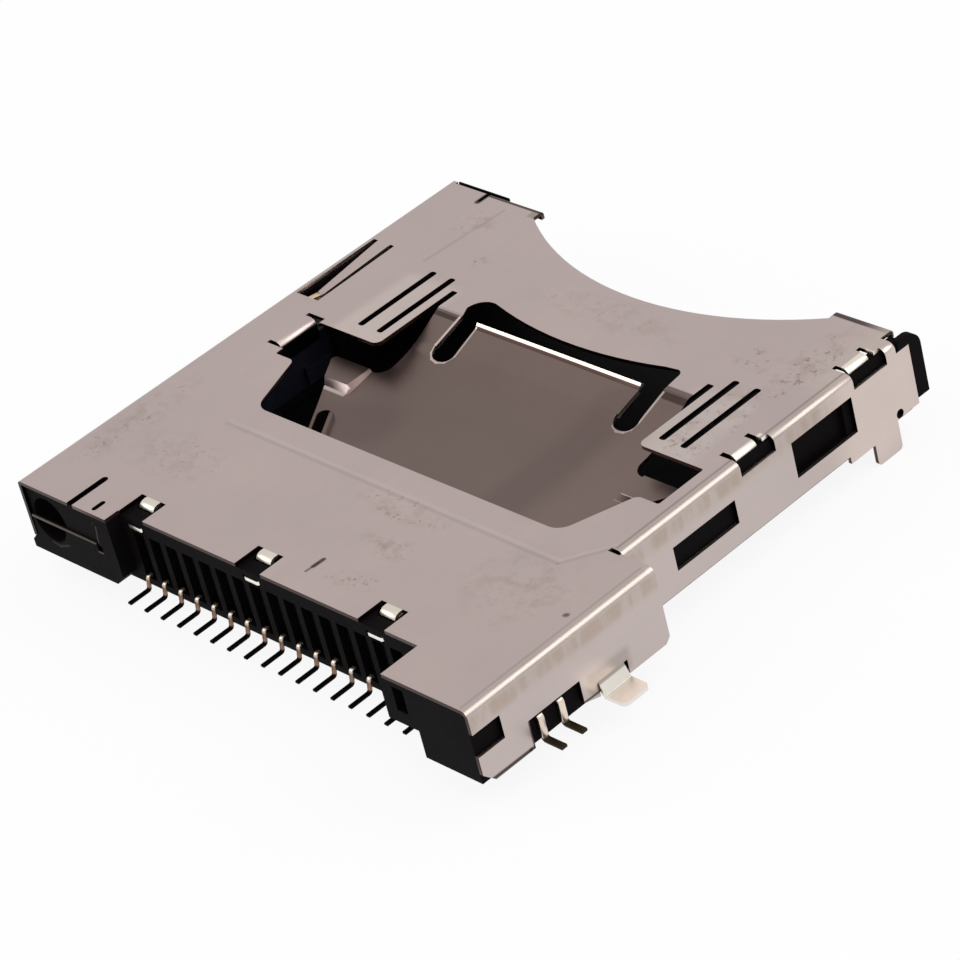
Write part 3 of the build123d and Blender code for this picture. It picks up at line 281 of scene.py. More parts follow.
class Effects:
    """The surface effects that several materials use, each one node group."""

    def __init__(self) -> None:
        """Build every group once."""
        self.rolled_grain = self._rolled_grain()
        self.specks = self._specks()
        self.stain = self._stain()
        self.patch = self._patch()
        self.region = self._region()
        self.painted_line = self._painted_line()
        self.smear = self._smear()
        self.sheared_edge = self._sheared_edge()
        self.moulding_skin = self._moulding_skin()

    @staticmethod
    def _start(name: str, **inputs: object) -> tuple[Graph, dict[str, NodeSocket]]:
        """Open a new group with named inputs.

        Args:
            name: The group's name.
            inputs: First value of each input, a number or a triple.

        Returns:
            The graph, and the inputs' sockets by name.
        """
        tree = bpy.data.node_groups.new(name, "ShaderNodeTree")
        for label, value in inputs.items():
            kind = "NodeSocketVector" if isinstance(value, tuple) else NUMBER
            tree.interface.new_socket(label, in_out="INPUT", socket_type=kind).default_value = value
        outputs = tree.nodes.new("NodeGroupInput").outputs
        return Graph(tree), {label: outputs[label] for label in inputs}

    def _rolled_grain(self) -> NodeTree:
        """Long soft streaks and fine grain of cold-rolled sheet."""
        graph, given = self._start("rolled_grain", Streak=1.0, Grain=1.0)
        streak = graph.noise(graph.place(STREAK_STRETCH), 1.0, 3.0)
        cloud = graph.noise(graph.place(), CLOUD_SCALE, 3.0)
        grain = graph.noise(graph.place(GRAIN_STRETCH), 1.0, 2.0)
        shift = graph.swing(streak, given["Streak"])
        tone = graph.math("ADD", shift, graph.swing(cloud, CLOUD_GAIN))
        tone = graph.math("ADD", tone, graph.swing(grain, given["Grain"]))
        return graph.done(Tone=tone, Height=graph.math("ADD", grain, streak))

    def _specks(self) -> NodeTree:
        """Small dark pits, thick in some places and absent in others."""
        graph, given = self._start("dark_specks", Scale=3.0, Amount=0.5)
        pits = graph.noise(graph.place(), given["Scale"], 4.0, 0.7)
        level = graph.math("SUBTRACT", PIT_LEVEL, graph.times(given["Amount"], PIT_SPREAD))
        above = graph.math("SUBTRACT", pits, level)
        return graph.done(Mask=graph.span(above, 0.0, PIT_BORDER))

    def _stain(self) -> NodeTree:
        """Soft mottled staining."""
        graph, given = self._start("soft_stain", Scale=0.6, Cut=0.5)
        blot = graph.noise(graph.place(), given["Scale"], 5.0, 0.62)
        above = graph.math("SUBTRACT", blot, given["Cut"])
        return graph.done(Mask=graph.span(above, 0.0, STAIN_BORDER))

    def _smear(self) -> NodeTree:
        """Smudges drawn out downwards."""
        graph, given = self._start("smear", Scale=1.0)
        blot = graph.noise(graph.place(SMEAR_STRETCH), given["Scale"], 3.0)
        return graph.done(Mask=graph.span(blot, *SMEAR_LEVELS))

    def _patch(self) -> NodeTree:
        """A soft round place, 1 in its middle and 0 outside."""
        graph, given = self._start("patch", Centre=(0.0, 0.0, 0.0), Reach=(1.0, 1.0, 1.0))
        away = graph.vector("SUBTRACT", graph.place(), given["Centre"])
        share = graph.vector("DIVIDE", away, given["Reach"])
        return graph.done(Mask=graph.span(graph.length(share), PATCH_CORE, 1.0, 1.0, 0.0))

    def _region(self) -> NodeTree:
        """A box-shaped place with a soft border, 1 inside and 0 outside."""
        graph, given = self._start("region", Low=(0.0, 0.0, 0.0), High=(1.0, 1.0, 1.0), Blur=0.1)
        spot = graph.place()
        below = graph.vector("SUBTRACT", given["Low"], spot)
        above = graph.vector("SUBTRACT", spot, given["High"])
        beyond = graph.vector("MAXIMUM", below, above)
        outside = graph.vector("MAXIMUM", beyond, (0.0, 0.0, 0.0))
        return graph.done(Mask=graph.span(graph.length(outside), 0.0, given["Blur"], 1.0, 0.0))

    def _painted_line(self) -> NodeTree:
        """A thin line between two points."""
        graph, given = self._start("painted_line", Start=(0.0, 0.0, 0.0), End=(1.0, 0.0, 0.0), Width=0.1)
        along = graph.vector("SUBTRACT", given["End"], given["Start"])
        away = graph.vector("SUBTRACT", graph.place(), given["Start"])
        squared = graph.vector("DOT_PRODUCT", along, along, "Value")
        reached = graph.vector("DOT_PRODUCT", away, along, "Value")
        share = graph.math("DIVIDE", reached, squared)
        held = graph.math("MAXIMUM", graph.math("MINIMUM", share, 1.0), 0.0)
        carried = graph.node("VectorMath", operation="SCALE")
        graph.feed(carried.inputs[0], along)
        graph.feed(carried.inputs["Scale"], held)
        gap = graph.vector("DISTANCE", away, carried.outputs[0], "Value")
        ratio = graph.math("DIVIDE", gap, graph.times(given["Width"], 0.5))
        return graph.done(Mask=graph.span(ratio, *PAINTED_LINE_BORDER, 1.0, 0.0))

    def _sheared_edge(self) -> NodeTree:
        """Faces that stand across an axis, such as the cut edge of a flat sheet."""
        graph, given = self._start("sheared_edge", Axis=UP, From=0.2, To=0.5)
        turned = graph.node("TexCoord").outputs["Normal"]
        facing = graph.vector("DOT_PRODUCT", turned, given["Axis"], "Value")
        size = graph.math("ABSOLUTE", facing)
        return graph.done(Mask=graph.span(size, given["From"], given["To"], 1.0, 0.0))

    def _moulding_skin(self) -> NodeTree:
        """Fine spark-eroded skin and soft flow marks of filled plastic."""
        graph, given = self._start("moulding_skin", Grain=1.0)
        flow = graph.noise(graph.place(FLOW_STRETCH), 0.5, 4.0)
        skin = graph.noise(graph.place(), SKIN_SCALE, 3.0, 0.6)
        fine = graph.swing(skin, given["Grain"])
        tone = graph.math("ADD", graph.math("SUBTRACT", flow, 0.5), fine)
        return graph.done(Tone=tone, Height=skin)


# ---- finishes


@dataclass(frozen=True)
class Blemish:
    """One place on the shell, in millimetres, with how thick its specks and stain lie."""

    centre: Triple
    reach: Triple
    specks: float
    stain: float


@dataclass(frozen=True)
class Zone:
    """One box on a piece, in millimetres, with its own colour and a soft border."""

    low: Triple
    high: Triple
    colour: Colour
    blur: float = 0.08


@dataclass(frozen=True)
class Line:
    """One mark on a piece, in millimetres, with how much of its colour shows."""

    start: Triple
    end: Triple
    width: float
    colour: Colour
    strength: float


class Paint:
    """One material while it is built up, and its colour so far.

    Args:
        name: The material's name.
        effects: The shared node groups.
        colour: The colour below all others.
    """

    def __init__(self, name: str, effects: Effects, colour: Colour) -> None:
        """Open the material."""
        self.material = bpy.data.materials.new(name)
        self.material.use_nodes = True
        self.graph = Graph(self.material.node_tree)
        self.effects = effects
        self.colour: object = colour

    def over(self, mask: object, colour: Colour) -> None:
        """Lay one more colour over the others."""
        self.colour = self.graph.blend(mask, self.colour, colour)

    def zone(self, zone: Zone) -> NodeSocket:
        """Lay on a zone's colour and return its mask."""
        graph, region = self.graph, self.effects.region
        mask = graph.mask(region, Low=zone.low, High=zone.high, Blur=zone.blur)
        self.over(mask, zone.colour)
        return mask

    def draw(self, lines: tuple[Line, ...]) -> None:
        """Draw lines in their order."""
        graph, painted_line = self.graph, self.effects.painted_line
        # most of these lines are painted highlights and painted shade
        for line in lines:
            mask = graph.mask(painted_line, Start=line.start, End=line.end, Width=line.width)
            self.over(graph.times(mask, line.strength), line.colour)

    def finish(
        self, skin: Node, toning: float, rough: object, depth: float, fixed: dict[str, float]
    ) -> Material:
        """Feed the surface shader.

        Args:
            skin: The group whose tone and height the surface follows.
            toning: How much the tone lightens and darkens the colour.
            rough: The roughness.
            depth: Depth of the height, in millimetres.
            fixed: Other values of the shader by name.

        Returns:
            The material.
        """
        graph = self.graph
        gain = graph.sway(skin.outputs["Tone"], toning, 1.0)
        grey = graph.node("CombineXYZ")
        for socket in grey.inputs:
            graph.feed(socket, gain)
        bump = graph.node("Bump")
        bump.inputs["Strength"].default_value = 1.0
        bump.inputs["Distance"].default_value = depth * MM
        graph.feed(bump.inputs["Height"], skin.outputs["Height"])
        values = {
            "Base Color": graph.blend(1.0, self.colour, grey.outputs[0], "MULTIPLY"),
            "Roughness": rough,
            "Normal": bump.outputs[0],
            **fixed,
        }
        for name, value in values.items():
            graph.feed(graph.tree.nodes["Principled BSDF"].inputs[name], value)
        return self.material


def arm_height(y: float) -> float:
    """Return the height of the plate's arms at one place along Y, in millimetres."""
    height = 3.7 + (y - 5.0) * 0.36 if y < 6.3 else 4.21 + (y - 6.33) * 0.51
    return round(height, 2)


def slot_rim_highlight(
    points: tuple[Pair, ...], strokes: tuple[Pair, ...], colour: Colour
) -> tuple[Line, ...]:
    """Return a painted highlight along the rim of a slot in the plate, as short lines end to end.

    Args:
        points: X and Y of the places where the lines meet.
        strokes: Width and strength of each line.
        colour: The colour of all of them.

    Returns:
        The lines, in the order of the points.
    """
    places = [(x, y, arm_height(y)) for x, y in points]
    return tuple(
        Line(start, end, width, colour, strength)
        for start, end, (width, strength) in zip(places, places[1:], strokes)
    )


# depth of the marks on drawn and plated metal, in millimetres
DIE_MARKS = 0.002

# painted reflection tone that dims and tints the highlight on the folds
FOLD_REFLECTION_TONE = (190, 179, 171)
# painted shade of the pressing plate, recessed under the shell
PLATE_SHADE = (127, 110, 104)
# painted shade on the downward bends of the front lips
FRONT_LIP_SHADE = (92, 75, 70)
GLINT_TONE = (255, 246, 232)
RIDGE_HIGHLIGHT = (222, 208, 204)
RIDGE_SHADE = (150, 134, 130)
# painted shade along the right flange's bottom edges
FLANGE_FOOT_SHADE = (38, 30, 28)


@dataclass(frozen=True)
class ShellSteel:
    """Nickel-plated stainless sheet, a little handled and pitted, with painted light and shade.

    A reach is a distance out from the middle, and a band has a lower and an upper end.
    The zones lie under the cut edges' painted shade and rim highlights, the later zones over
    them; most of both are painted shade and painted highlights.
    """

    colour: Colour = (203, 186, 182)
    # painted reflection tone of the upright faces, a little darker than the top
    upright_reflection_colour: Colour = (194, 181, 177)
    smear_colour: Colour = (170, 151, 134)
    # painted shade on cut edges and undersides
    cut_edge_shade_colour: Colour = (62, 47, 43)
    # painted highlight on the plate's cut edges
    rim_highlight_colour: Colour = (206, 192, 187)
    speck_colour: Colour = (104, 86, 80)
    stain_colour: Colour = (140, 121, 110)
    speck_share: float = 0.5
    stain_share: float = 0.42
    tone_share: float = 0.13
    roughness: float = 0.33
    dirt_roughness: float = 0.3
    tone_roughness: float = 0.1
    grain_height: float = 0.003
    smear_share: float = 0.18
    streak_share: float = 0.45
    sheet_band: Pair = (TOP - 0.28, TOP - 0.24)
    fold_band: Pair = (17.45, 17.5)
    top_reach: Pair = (16.4, 16.6)
    plate_reach: Pair = (15.1, 15.3)
    tongue_reach: Pair = (10.8, 10.9)
    plate_rear: Pair = (-9.0, -8.9)
    smear_rise: Pair = (3.5, 4.2)
    smear_fall: Pair = (4.7, 4.95)
    smear_reach: Pair = (17.55, 17.65)
    zones: tuple[Zone, ...] = (
        # painted reflection tone on the rear and right folds
        Zone((19.9, -19.5, 4.86), (20.5, -5.3, 5.175), FOLD_REFLECTION_TONE, 0.02),
        Zone((17.4, -5.3, 4.86), (18.3, 14.9, 5.175), FOLD_REFLECTION_TONE, 0.02),
        # painted shade over the pressing plate and its arms
        Zone((-15.2, -9.2, 2.0), (15.2, 3.4, 4.85), PLATE_SHADE, 0.15),
        Zone((-10.9, 3.2, 2.0), (0.0, 8.0, 5.3), PLATE_SHADE, 0.1),
        Zone((0.0, 3.2, 2.0), (10.9, 8.62, 5.3), PLATE_SHADE, 0.1),
        # painted highlight on the left wing's rear slope, painted shade on the right one
        Zone((-15.2, 0.3, 3.1), (-11.6, 0.9, 3.5), (206, 188, 182), 0.08),
        Zone((12.2, 0.3, 3.1), (15.2, 0.9, 3.5), (92, 79, 76), 0.06),
        # painted shade on the front lips and the front-left corner
        Zone((12.4, 18.85, 4.4), (16.9, 19.4, 5.3), (92, 76, 73), 0.1),
        Zone((-17.4, 19.0, 4.4), (-11.9, 19.4, 5.3), FRONT_LIP_SHADE, 0.08),
        Zone((-13.0, 18.4, 3.9), (-11.9, 19.4, 5.15), FRONT_LIP_SHADE, 0.08),
        # painted shade on the inner face of the left guide tab
        Zone((-17.4, 0.2, 3.4), (-16.8, 3.9, 4.85), (30, 27, 31), 0.1),
        # painted highlight on the curled tip of the cam pin leaf
        Zone((-20.1, 5.2, 4.2), (-18.6, 6.0, 4.95), (240, 218, 180), 0.12),
        # painted light, broad and soft, on the front of the right flange
        Zone((17.4, 14.0, 0.0), (18.0, 18.5, 5.0), (212, 197, 189), 3.0),
        Zone((20.2, -10.9, 0.7), (20.34, -8.2, 1.6), (174, 163, 156), 0.6),
    )
    # mostly painted highlights and painted shade, laid over the cut edges
    late_highlights_and_shades: tuple[Zone, ...] = (
        # painted shade, nearly black, on the right wing's inner edge
        Zone((11.45, 0.56, 3.2), (13.6, 0.9, 3.5), (14, 12, 11), 0.02),
        Zone((16.9, 5.2, 4.9), (17.7, 7.6, 5.3), GLINT_TONE, 0.1),
        Zone((16.7, 14.8, 4.9), (17.5, 17.0, 5.3), GLINT_TONE, 0.1),
        # painted highlight on the tongue's up-curled lip
        Zone((-7.3, 7.95, 4.85), (7.3, 8.45, 5.3), (226, 214, 200), 0.05),
        # painted shade on the left flange's rear edge
        Zone((-21.2, -17.8, 0.9), (-20.3, -17.5, 4.95), (20, 17, 16), 0.03),
        Zone((20.42, -11.0, 0.0), (23.5, -8.0, 1.1), (236, 230, 221), 0.06),
        # painted shade below each hook's bend
        *(
            Zone((x - 0.8, -15.75, 3.9), (x + 0.8, -14.95, 4.84), (38, 32, 30), 0.05)
            for x in HOOK_XS
        ),
        # painted highlight on each hook's bend
        *(
            Zone((x - 0.8, -15.6, 4.9), (x + 0.8, -14.8, 5.3), (240, 230, 216), 0.05)
            for x in HOOK_XS
        ),
        # painted highlight on the hooks' ends along the rear wall
        Zone((-14.0, -17.2, 4.0), (12.0, -16.5, 4.6), (250, 246, 234), 0.05),
    )
    teeth: tuple[Zone, ...] = (
        Zone((-14.6, 3.3, 5.0), (-11.0, 9.6, 5.3), (218, 202, 196), 1.1),
        Zone((11.0, 3.3, 5.0), (14.6, 9.0, 5.3), (212, 198, 193), 1.1),
    )
    blemishes: tuple[Blemish, ...] = tuple(
        Blemish((x, y, TOP), (wide, long, 1.0), specks, stain)
        for x, y, wide, long, specks, stain in (
            (13.6, 7.0, 2.4, 5.5, 1.0, 0.35),
            (14.8, 14.0, 1.8, 5.5, 1.0, 0.5),
            (11.8, 13.3, 2.6, 1.6, 0.8, 0.2),
            (3.2, -8.0, 4.8, 1.4, 0.85, 0.35),
            (5.4, -14.2, 3.2, 1.1, 0.9, 0.2),
            (5.3, -11.0, 3.0, 1.3, 0.5, 0.7),
            (-19.0, -9.5, 2.0, 6.5, 0.6, 0.4),
            (-13.5, -11.0, 5.0, 3.0, 0.4, 0.25),
            (-15.5, 16.0, 2.2, 2.0, 0.4, 0.5),
            (-11.8, 13.1, 0.9, 0.8, 1.0, 0.7),
            (0.0, 12.5, 8.0, 2.0, 0.35, 0.3),
            (15.0, -10.0, 5.0, 4.5, 0.25, 0.4),
        )
    )
    lines: tuple[Line, ...] = (
        *(
            Line((x, y, TOP), (to_x, to_y, TOP), width, colour, strength)
            for x, y, to_x, to_y, width, colour, strength in (
                # painted highlight and painted shade side by side, standing for a shallow ridge
                # behind the window
                (-13.4, -6.8, 15.1, -7.0, 0.3, RIDGE_HIGHLIGHT, 0.2),
                (15.1, -7.0, 16.9, -4.4, 0.3, RIDGE_HIGHLIGHT, 0.2),
                (-13.4, -7.1, 15.2, -7.3, 0.3, RIDGE_SHADE, 0.22),
                (15.2, -7.3, 17.1, -4.6, 0.3, RIDGE_SHADE, 0.22),
                (-14.9, 18.2, -15.4, 11.6, 0.3, (160, 145, 141), 0.3),
                (2.5, -15.05, 2.57, -14.1, 0.22, (84, 70, 69), 0.7),
                (2.55, -14.5, 2.59, -13.75, 0.36, (62, 50, 50), 0.9),
                (18.97, -10.5, 19.03, -10.45, 0.4, (112, 98, 96), 0.9),
                # thin painted shade on the top beside each fold's highlight
                (17.2, -4.5, 17.2, 14.9, 0.2, (150, 136, 131), 0.65),
                (19.7, -19.3, 19.7, -5.3, 0.2, (168, 154, 150), 0.5),
                # painted shade deep in the slit at the front-left corner
                (-17.3, 18.2, -17.3, 19.2, 0.5, (24, 19, 18), 0.95),
            )
        ),
        # painted reflection, lighter on the plate's right side
        Line((10.2, -3.4, 3.3), (9.6, 3.6, 3.5), 5.0, (146, 126, 119), 0.35),
        # painted shade on the plate's left rear
        Line((-11.5, -2.6, 3.2), (-8.0, -1.2, 3.2), 5.0, (104, 88, 83), 0.4),
        # painted shade along the flange's bottom and up a window's edge
        Line((20.34, -19.0, 0.26), (20.34, -16.0, 0.22), 0.3, FLANGE_FOOT_SHADE, 0.9),
        Line((20.34, -16.0, 0.22), (20.34, -15.68, 0.2), 0.3, FLANGE_FOOT_SHADE, 0.9),
        Line((20.34, -15.68, 0.2), (20.34, -15.66, 1.9), 0.22, FLANGE_FOOT_SHADE, 0.85),
        Line((20.34, -11.8, 0.5), (20.34, -10.35, 0.45), 0.2, FLANGE_FOOT_SHADE, 0.85),
        # painted highlights on the rims of the plate's two slots
        *slot_rim_highlight(
            ((-8.62, 8.1), (-9.08, 6.2), (-8.97, 5.6), (-8.62, 5.24))
            + ((-8.1, 5.12), (-7.55, 5.3), (-7.16, 5.9), (-6.9, 7.9)),
            ((0.2, 0.95), (0.2, 0.9), (0.2, 0.9), (0.18, 0.85), (0.16, 0.8), (0.14, 0.8))
            + ((0.13, 0.75),),
            (226, 205, 198),
        ),
        *slot_rim_highlight(
            ((8.74, 8.1), (8.38, 6.1), (8.2, 5.55), (7.85, 5.22))
            + ((7.35, 5.12), (6.85, 5.35), (6.52, 6.0)),
            ((0.18, 0.85), (0.2, 0.85), (0.2, 0.85), (0.2, 0.85), (0.18, 0.8), (0.14, 0.7)),
            (206, 193, 186),
        ),
        # painted shade in a broad band across the plate
        Line((5.6, -3.6, 3.2), (6.2, 6.5, 4.0), 3.6, (108, 92, 88), 0.35),
    )

    def material(self, effects: Effects) -> Material:
        """Return the shell's material.

        Args:
            effects: The shared node groups.

        Returns:
            The material.
        """
        paint = Paint("shell_steel", effects, self.colour)
        graph = paint.graph
        grain = graph.group(effects.rolled_grain, Streak=0.4, Grain=0.3)
        place = graph.node("SeparateXYZ")
        graph.feed(place.inputs[0], graph.node("TexCoord").outputs["Object"])
        # painted reflection tone on every upright face
        paint.over(graph.mask(effects.sheared_edge, Axis=UP), self.upright_reflection_colour)
        for zone in self.teeth:
            paint.zone(zone)
        self._smear(paint, place)
        for zone in self.zones:
            paint.zone(zone)
        self._cut_edge_shade_and_rim_highlight(paint, place)
        for zone in self.late_highlights_and_shades:
            paint.zone(zone)
        specks, stain = self._dirt(graph, effects)
        paint.over(graph.times(stain, self.stain_share), self.stain_colour)
        paint.over(graph.times(specks, self.speck_share), self.speck_colour)
        paint.draw(self.lines)
        dirt = graph.math("MAXIMUM", specks, stain)
        rough = graph.sway(dirt, self.dirt_roughness, self.roughness)
        tone = graph.times(grain.outputs["Tone"], self.tone_roughness)
        rough = graph.math("ADD", rough, tone)
        return paint.finish(grain, self.tone_share, rough, self.grain_height, {"Metallic": 1.0})

    def _cut_edge_shade_and_rim_highlight(self, paint: Paint, place: Node) -> None:
        """Lay painted shade on the shell's cut edges and on the flange's edges and undersides, and
        painted highlights on the rims of the plate's slots.

        Args:
            paint: The material so far.
            place: The separated place on the piece, in metres.
        """
        graph, effects = paint.graph, paint.effects
        edge = graph.mask(effects.sheared_edge, Axis=UP, From=0.5, To=0.85)
        flat = graph.mask(effects.sheared_edge, Axis=FORWARD, From=0.25, To=0.55)
        endwise = graph.math("SUBTRACT", 1.0, flat)
        high = graph.rise(place.outputs["Z"], self.sheet_band)
        low = graph.math("SUBTRACT", 1.0, high)
        out = graph.math("ABSOLUTE", place.outputs["X"])
        inside = graph.fall(out, self.top_reach)
        within = graph.fall(out, self.plate_reach)
        beyond = graph.rise(out, self.fold_band)
        front = graph.rise(place.outputs["Y"], self.plate_rear)
        plate = graph.times(graph.times(low, within), front)
        cut = graph.times(graph.math("MAXIMUM", graph.times(edge, inside), endwise), high)
        flange_cut_shade = graph.times(graph.times(endwise, low), beyond)
        turned = graph.node("SeparateXYZ")
        graph.feed(turned.inputs[0], graph.node("TexCoord").outputs["Normal"])
        under = graph.span(turned.outputs["Z"], -0.5, -0.15, 1.0, 0.0)
        flange_cut_shade = graph.math("MAXIMUM", flange_cut_shade, graph.times(under, beyond))
        rim = graph.times(graph.times(edge, plate), graph.fall(out, self.tongue_reach))
        # painted shade on the cut edges, the flange's edges and the undersides
        paint.over(graph.math("MAXIMUM", cut, flange_cut_shade), self.cut_edge_shade_colour)
        # painted highlight on the rims of the plate's slots
        paint.over(rim, self.rim_highlight_colour)

    def _smear(self, paint: Paint, place: Node) -> None:
        """Lay on tan smudges that hang from the folds."""
        graph, effects = paint.graph, paint.effects
        streaks = graph.mask(effects.smear, Scale=1.1)
        upright = graph.mask(effects.sheared_edge, Axis=UP)
        high = graph.rise(place.outputs["Z"], self.smear_rise)
        fold = graph.fall(place.outputs["Z"], self.smear_fall)
        beyond = graph.rise(graph.math("ABSOLUTE", place.outputs["X"]), self.smear_reach)
        share = graph.sway(streaks, self.streak_share, self.smear_share)
        band = graph.times(graph.times(high, fold), beyond)
        paint.over(graph.times(graph.times(band, upright), share), self.smear_colour)

    def _dirt(self, graph: Graph, effects: Effects) -> tuple[object, object]:
        """Return the masks of the pitted and of the stained places."""
        specks: object = 0.0
        stain: object = 0.0
        pits = graph.mask(effects.specks, Scale=2.2, Amount=1.0)
        blots = graph.mask(effects.stain, Scale=0.75, Cut=0.46)
        for mark in self.blemishes:
            patch = graph.mask(effects.patch, Centre=mark.centre, Reach=mark.reach)
            here = graph.times(pits, graph.times(patch, mark.specks))
            specks = graph.math("MAXIMUM", specks, here)
            here = graph.times(blots, graph.times(patch, mark.stain))
            stain = graph.math("MAXIMUM", stain, here)
        return specks, stain


@dataclass(frozen=True)
class MouldedPlastic:
    """Glass-filled moulded plastic."""

    name: str
    colour: Colour
    roughness: float
    sheen: float
    grain: float = 0.02
    lines: tuple[Line, ...] = ()

    def material(self, effects: Effects) -> Material:
        """Return the plastic's material, with flow marks, fine skin and any painted highlight
        lines.
        """
        paint = Paint(self.name, effects, self.colour)
        skin = paint.graph.group(effects.moulding_skin, Grain=0.5)
        paint.draw(self.lines)
        rough = paint.graph.sway(skin.outputs["Tone"], 0.25, self.roughness)
        return paint.finish(skin, 0.5, rough, self.grain, {"Specular IOR Level": self.sheen})


@dataclass(frozen=True)
class PlatedStrip:
    """Plated spring strip: painted highlights in its zones, duller and rougher elsewhere, where its
    dark colour is partly dull plating and partly painted shade.
    """

    name: str
    dull_and_shade_colour: Colour
    zones: tuple[Zone, ...]
    roughness: float = 0.28
    dulling: float = 0.25

    def material(self, effects: Effects) -> Material:
        """Return the strip's material."""
        paint = Paint(self.name, effects, self.dull_and_shade_colour)
        graph = paint.graph
        grain = graph.group(effects.rolled_grain, Streak=0.4, Grain=0.5)
        bright: object = 0.0
        # the zones paint highlights and make the surface smoother
        for zone in self.zones:
            bright = graph.math("MAXIMUM", bright, paint.zone(zone))
        shine = graph.times(bright, self.dulling)
        rough = graph.math("SUBTRACT", self.roughness + self.dulling, shine)
        return paint.finish(grain, 0.4, rough, DIE_MARKS, {"Metallic": 1.0})


@dataclass(frozen=True)
class DrawnWire:
    """Bright drawn spring wire."""

    name: str
    colour: Colour

    def material(self, effects: Effects) -> Material:
        """Return the wire's material, with faint die marks."""
        paint = Paint(self.name, effects, self.colour)
        grain = paint.graph.group(effects.rolled_grain, Streak=1.2, Grain=0.6)
        rough = paint.graph.sway(grain.outputs["Tone"], 0.15, 0.3)
        return paint.finish(grain, 0.25, rough, DIE_MARKS, {"Metallic": 1.0})


# painted highlights on the housing: along the rear block's ledge edge, down and across the pillar's
# edge, on an arc of the hole's rim and inside the tall window
HOLE_RIM_HIGHLIGHT = (70, 63, 61)
HOUSING_HIGHLIGHTS = (
    Line((-20.8, -17.65, 2.72), (-14.5, -17.65, 2.78), 0.2, (128, 119, 113), 0.75),
    Line((-14.15, -17.65, 4.4), (-14.3, -17.65, 2.9), 0.16, (132, 123, 117), 0.85),
    Line((-13.85, -17.65, 4.2), (-14.1, -17.65, 2.9), 0.12, (84, 77, 74), 0.7),
    Line((-14.35, -17.65, 2.2), (-13.95, -17.65, 2.2), 0.12, (110, 100, 96), 0.8),
    Line((-19.1, -17.65, 1.25), (-18.5, -17.65, 1.12), 0.18, HOLE_RIM_HIGHLIGHT, 0.6),
    Line((-18.5, -17.65, 1.12), (-17.5, -17.65, 1.5), 0.18, HOLE_RIM_HIGHLIGHT, 0.6),
    Line((17.3, 14.15, 3.3), (17.3, 14.15, 1.7), 0.16, (120, 116, 114), 0.8),
)


# ---- modelling

# distances in millimetres, angles in degrees
MESH_WELD = 0.002
FLAT_ANGLE = 0.6
SHARP_ANGLE = 30.0
SMOOTH_ANGLE = 35.0
ROUND_STEPS = 2
STRIP_WELD = 0.001
BEND_STEPS = 4
SHEET_HEIGHTS = (4.9, 5.3)
SLIT_GAP = 0.005


def choose(piece: Object) -> None:
    """Deselect everything, then select one piece and make it active."""
    for other in bpy.context.selected_objects:
        other.select_set(False)
    piece.select_set(True)
    bpy.context.view_layer.objects.active = piece


def finish_with(piece: Object, kind: str, **settings: object) -> None:
    """Add a modifier, set its properties and apply it."""
    choose(piece)
    modifier = piece.modifiers.new(kind.lower(), kind)
    for name, value in settings.items():
        setattr(modifier, name, value)
    bpy.ops.object.modifier_apply(modifier=modifier.name)


def merged_copy(node: str, name: str) -> Object:
    """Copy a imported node's mesh, with its triangles joined into flat faces again.

    Args:
        node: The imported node.
        name: The new piece's name.

    Returns:
        The new piece, with nothing selected in its mesh.
    """
    piece = bpy.data.objects.new(name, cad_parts[node].data.copy())
    piece.data.name = name
    piece.data.materials.clear()
    bpy.context.scene.collection.objects.link(piece)
    choose(piece)
    bpy.ops.object.mode_set(mode="EDIT")
    bpy.ops.mesh.select_all(action="SELECT")
    if piece.data.has_custom_normals:
        bpy.ops.mesh.customdata_custom_splitnormals_clear()
    bpy.ops.mesh.remove_doubles(threshold=MESH_WELD * MM)
    bpy.ops.mesh.dissolve_limited(angle_limit=radians(FLAT_ANGLE))
    bpy.ops.mesh.select_all(action="DESELECT")
    bpy.ops.object.mode_set(mode="OBJECT")
    return piece


def soften(piece: Object, width: float) -> None:
    """Round a piece's sharp edges and shade it smooth between them.

    Args:
        piece: The piece.
        width: Width of the rounding, in millimetres.
    """
    finish_with(
        piece,
        "BEVEL",
        width=width * MM,
        segments=ROUND_STEPS,
        limit_method="ANGLE",
        angle_limit=radians(SHARP_ANGLE),
        harden_normals=False,
        miter_outer="MITER_ARC",
    )
    choose(piece)
    bpy.ops.object.shade_smooth_by_angle(angle=radians(SMOOTH_ANGLE))
    finish_with(piece, "WEIGHTED_NORMAL", keep_sharp=True)


def deliver(piece: Object, slot: Slot, body: str, material: Material, *nodes: str) -> None:
    """Give a finished piece its material and body, and hide the nodes it stands for."""
    piece.data.materials.clear()
    piece.data.materials.append(material)
    if nodes:
        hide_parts(*nodes)
    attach(piece, body)
    log.info("%s: %d faces on body %s", piece.name, len(piece.data.polygons), body)


def dress_node(node: str, material: Material) -> None:
    """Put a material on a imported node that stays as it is."""
    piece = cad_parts[node]
    if not piece.material_slots:
        piece.data.materials.append(material)
    for slot in piece.material_slots:
        slot.material = material
    log.info("%s: packed node dressed in %s", node, material.name)


@dataclass(frozen=True)
class Nudge:
    """A small move of the corners inside one box, in millimetres."""

    low: Triple
    high: Triple
    step: Triple

    def apply(self, piece: Object) -> None:
        """Move the piece's corners."""
        low, high = Vector(self.low) * MM, Vector(self.high) * MM
        choose(piece)
        bpy.ops.object.mode_set(mode="EDIT")
        bpy.ops.mesh.select_mode(type="VERT")
        bpy.ops.mesh.select_all(action="DESELECT")
        bpy.ops.object.mode_set(mode="OBJECT")
        for corner in piece.data.vertices:
            corner.select = all(a <= c <= b for a, c, b in zip(low, corner.co, high))
        bpy.ops.object.mode_set(mode="EDIT")
        bpy.ops.transform.translate(value=Vector(self.step) * MM)
        bpy.ops.mesh.select_all(action="DESELECT")
        bpy.ops.object.mode_set(mode="OBJECT")


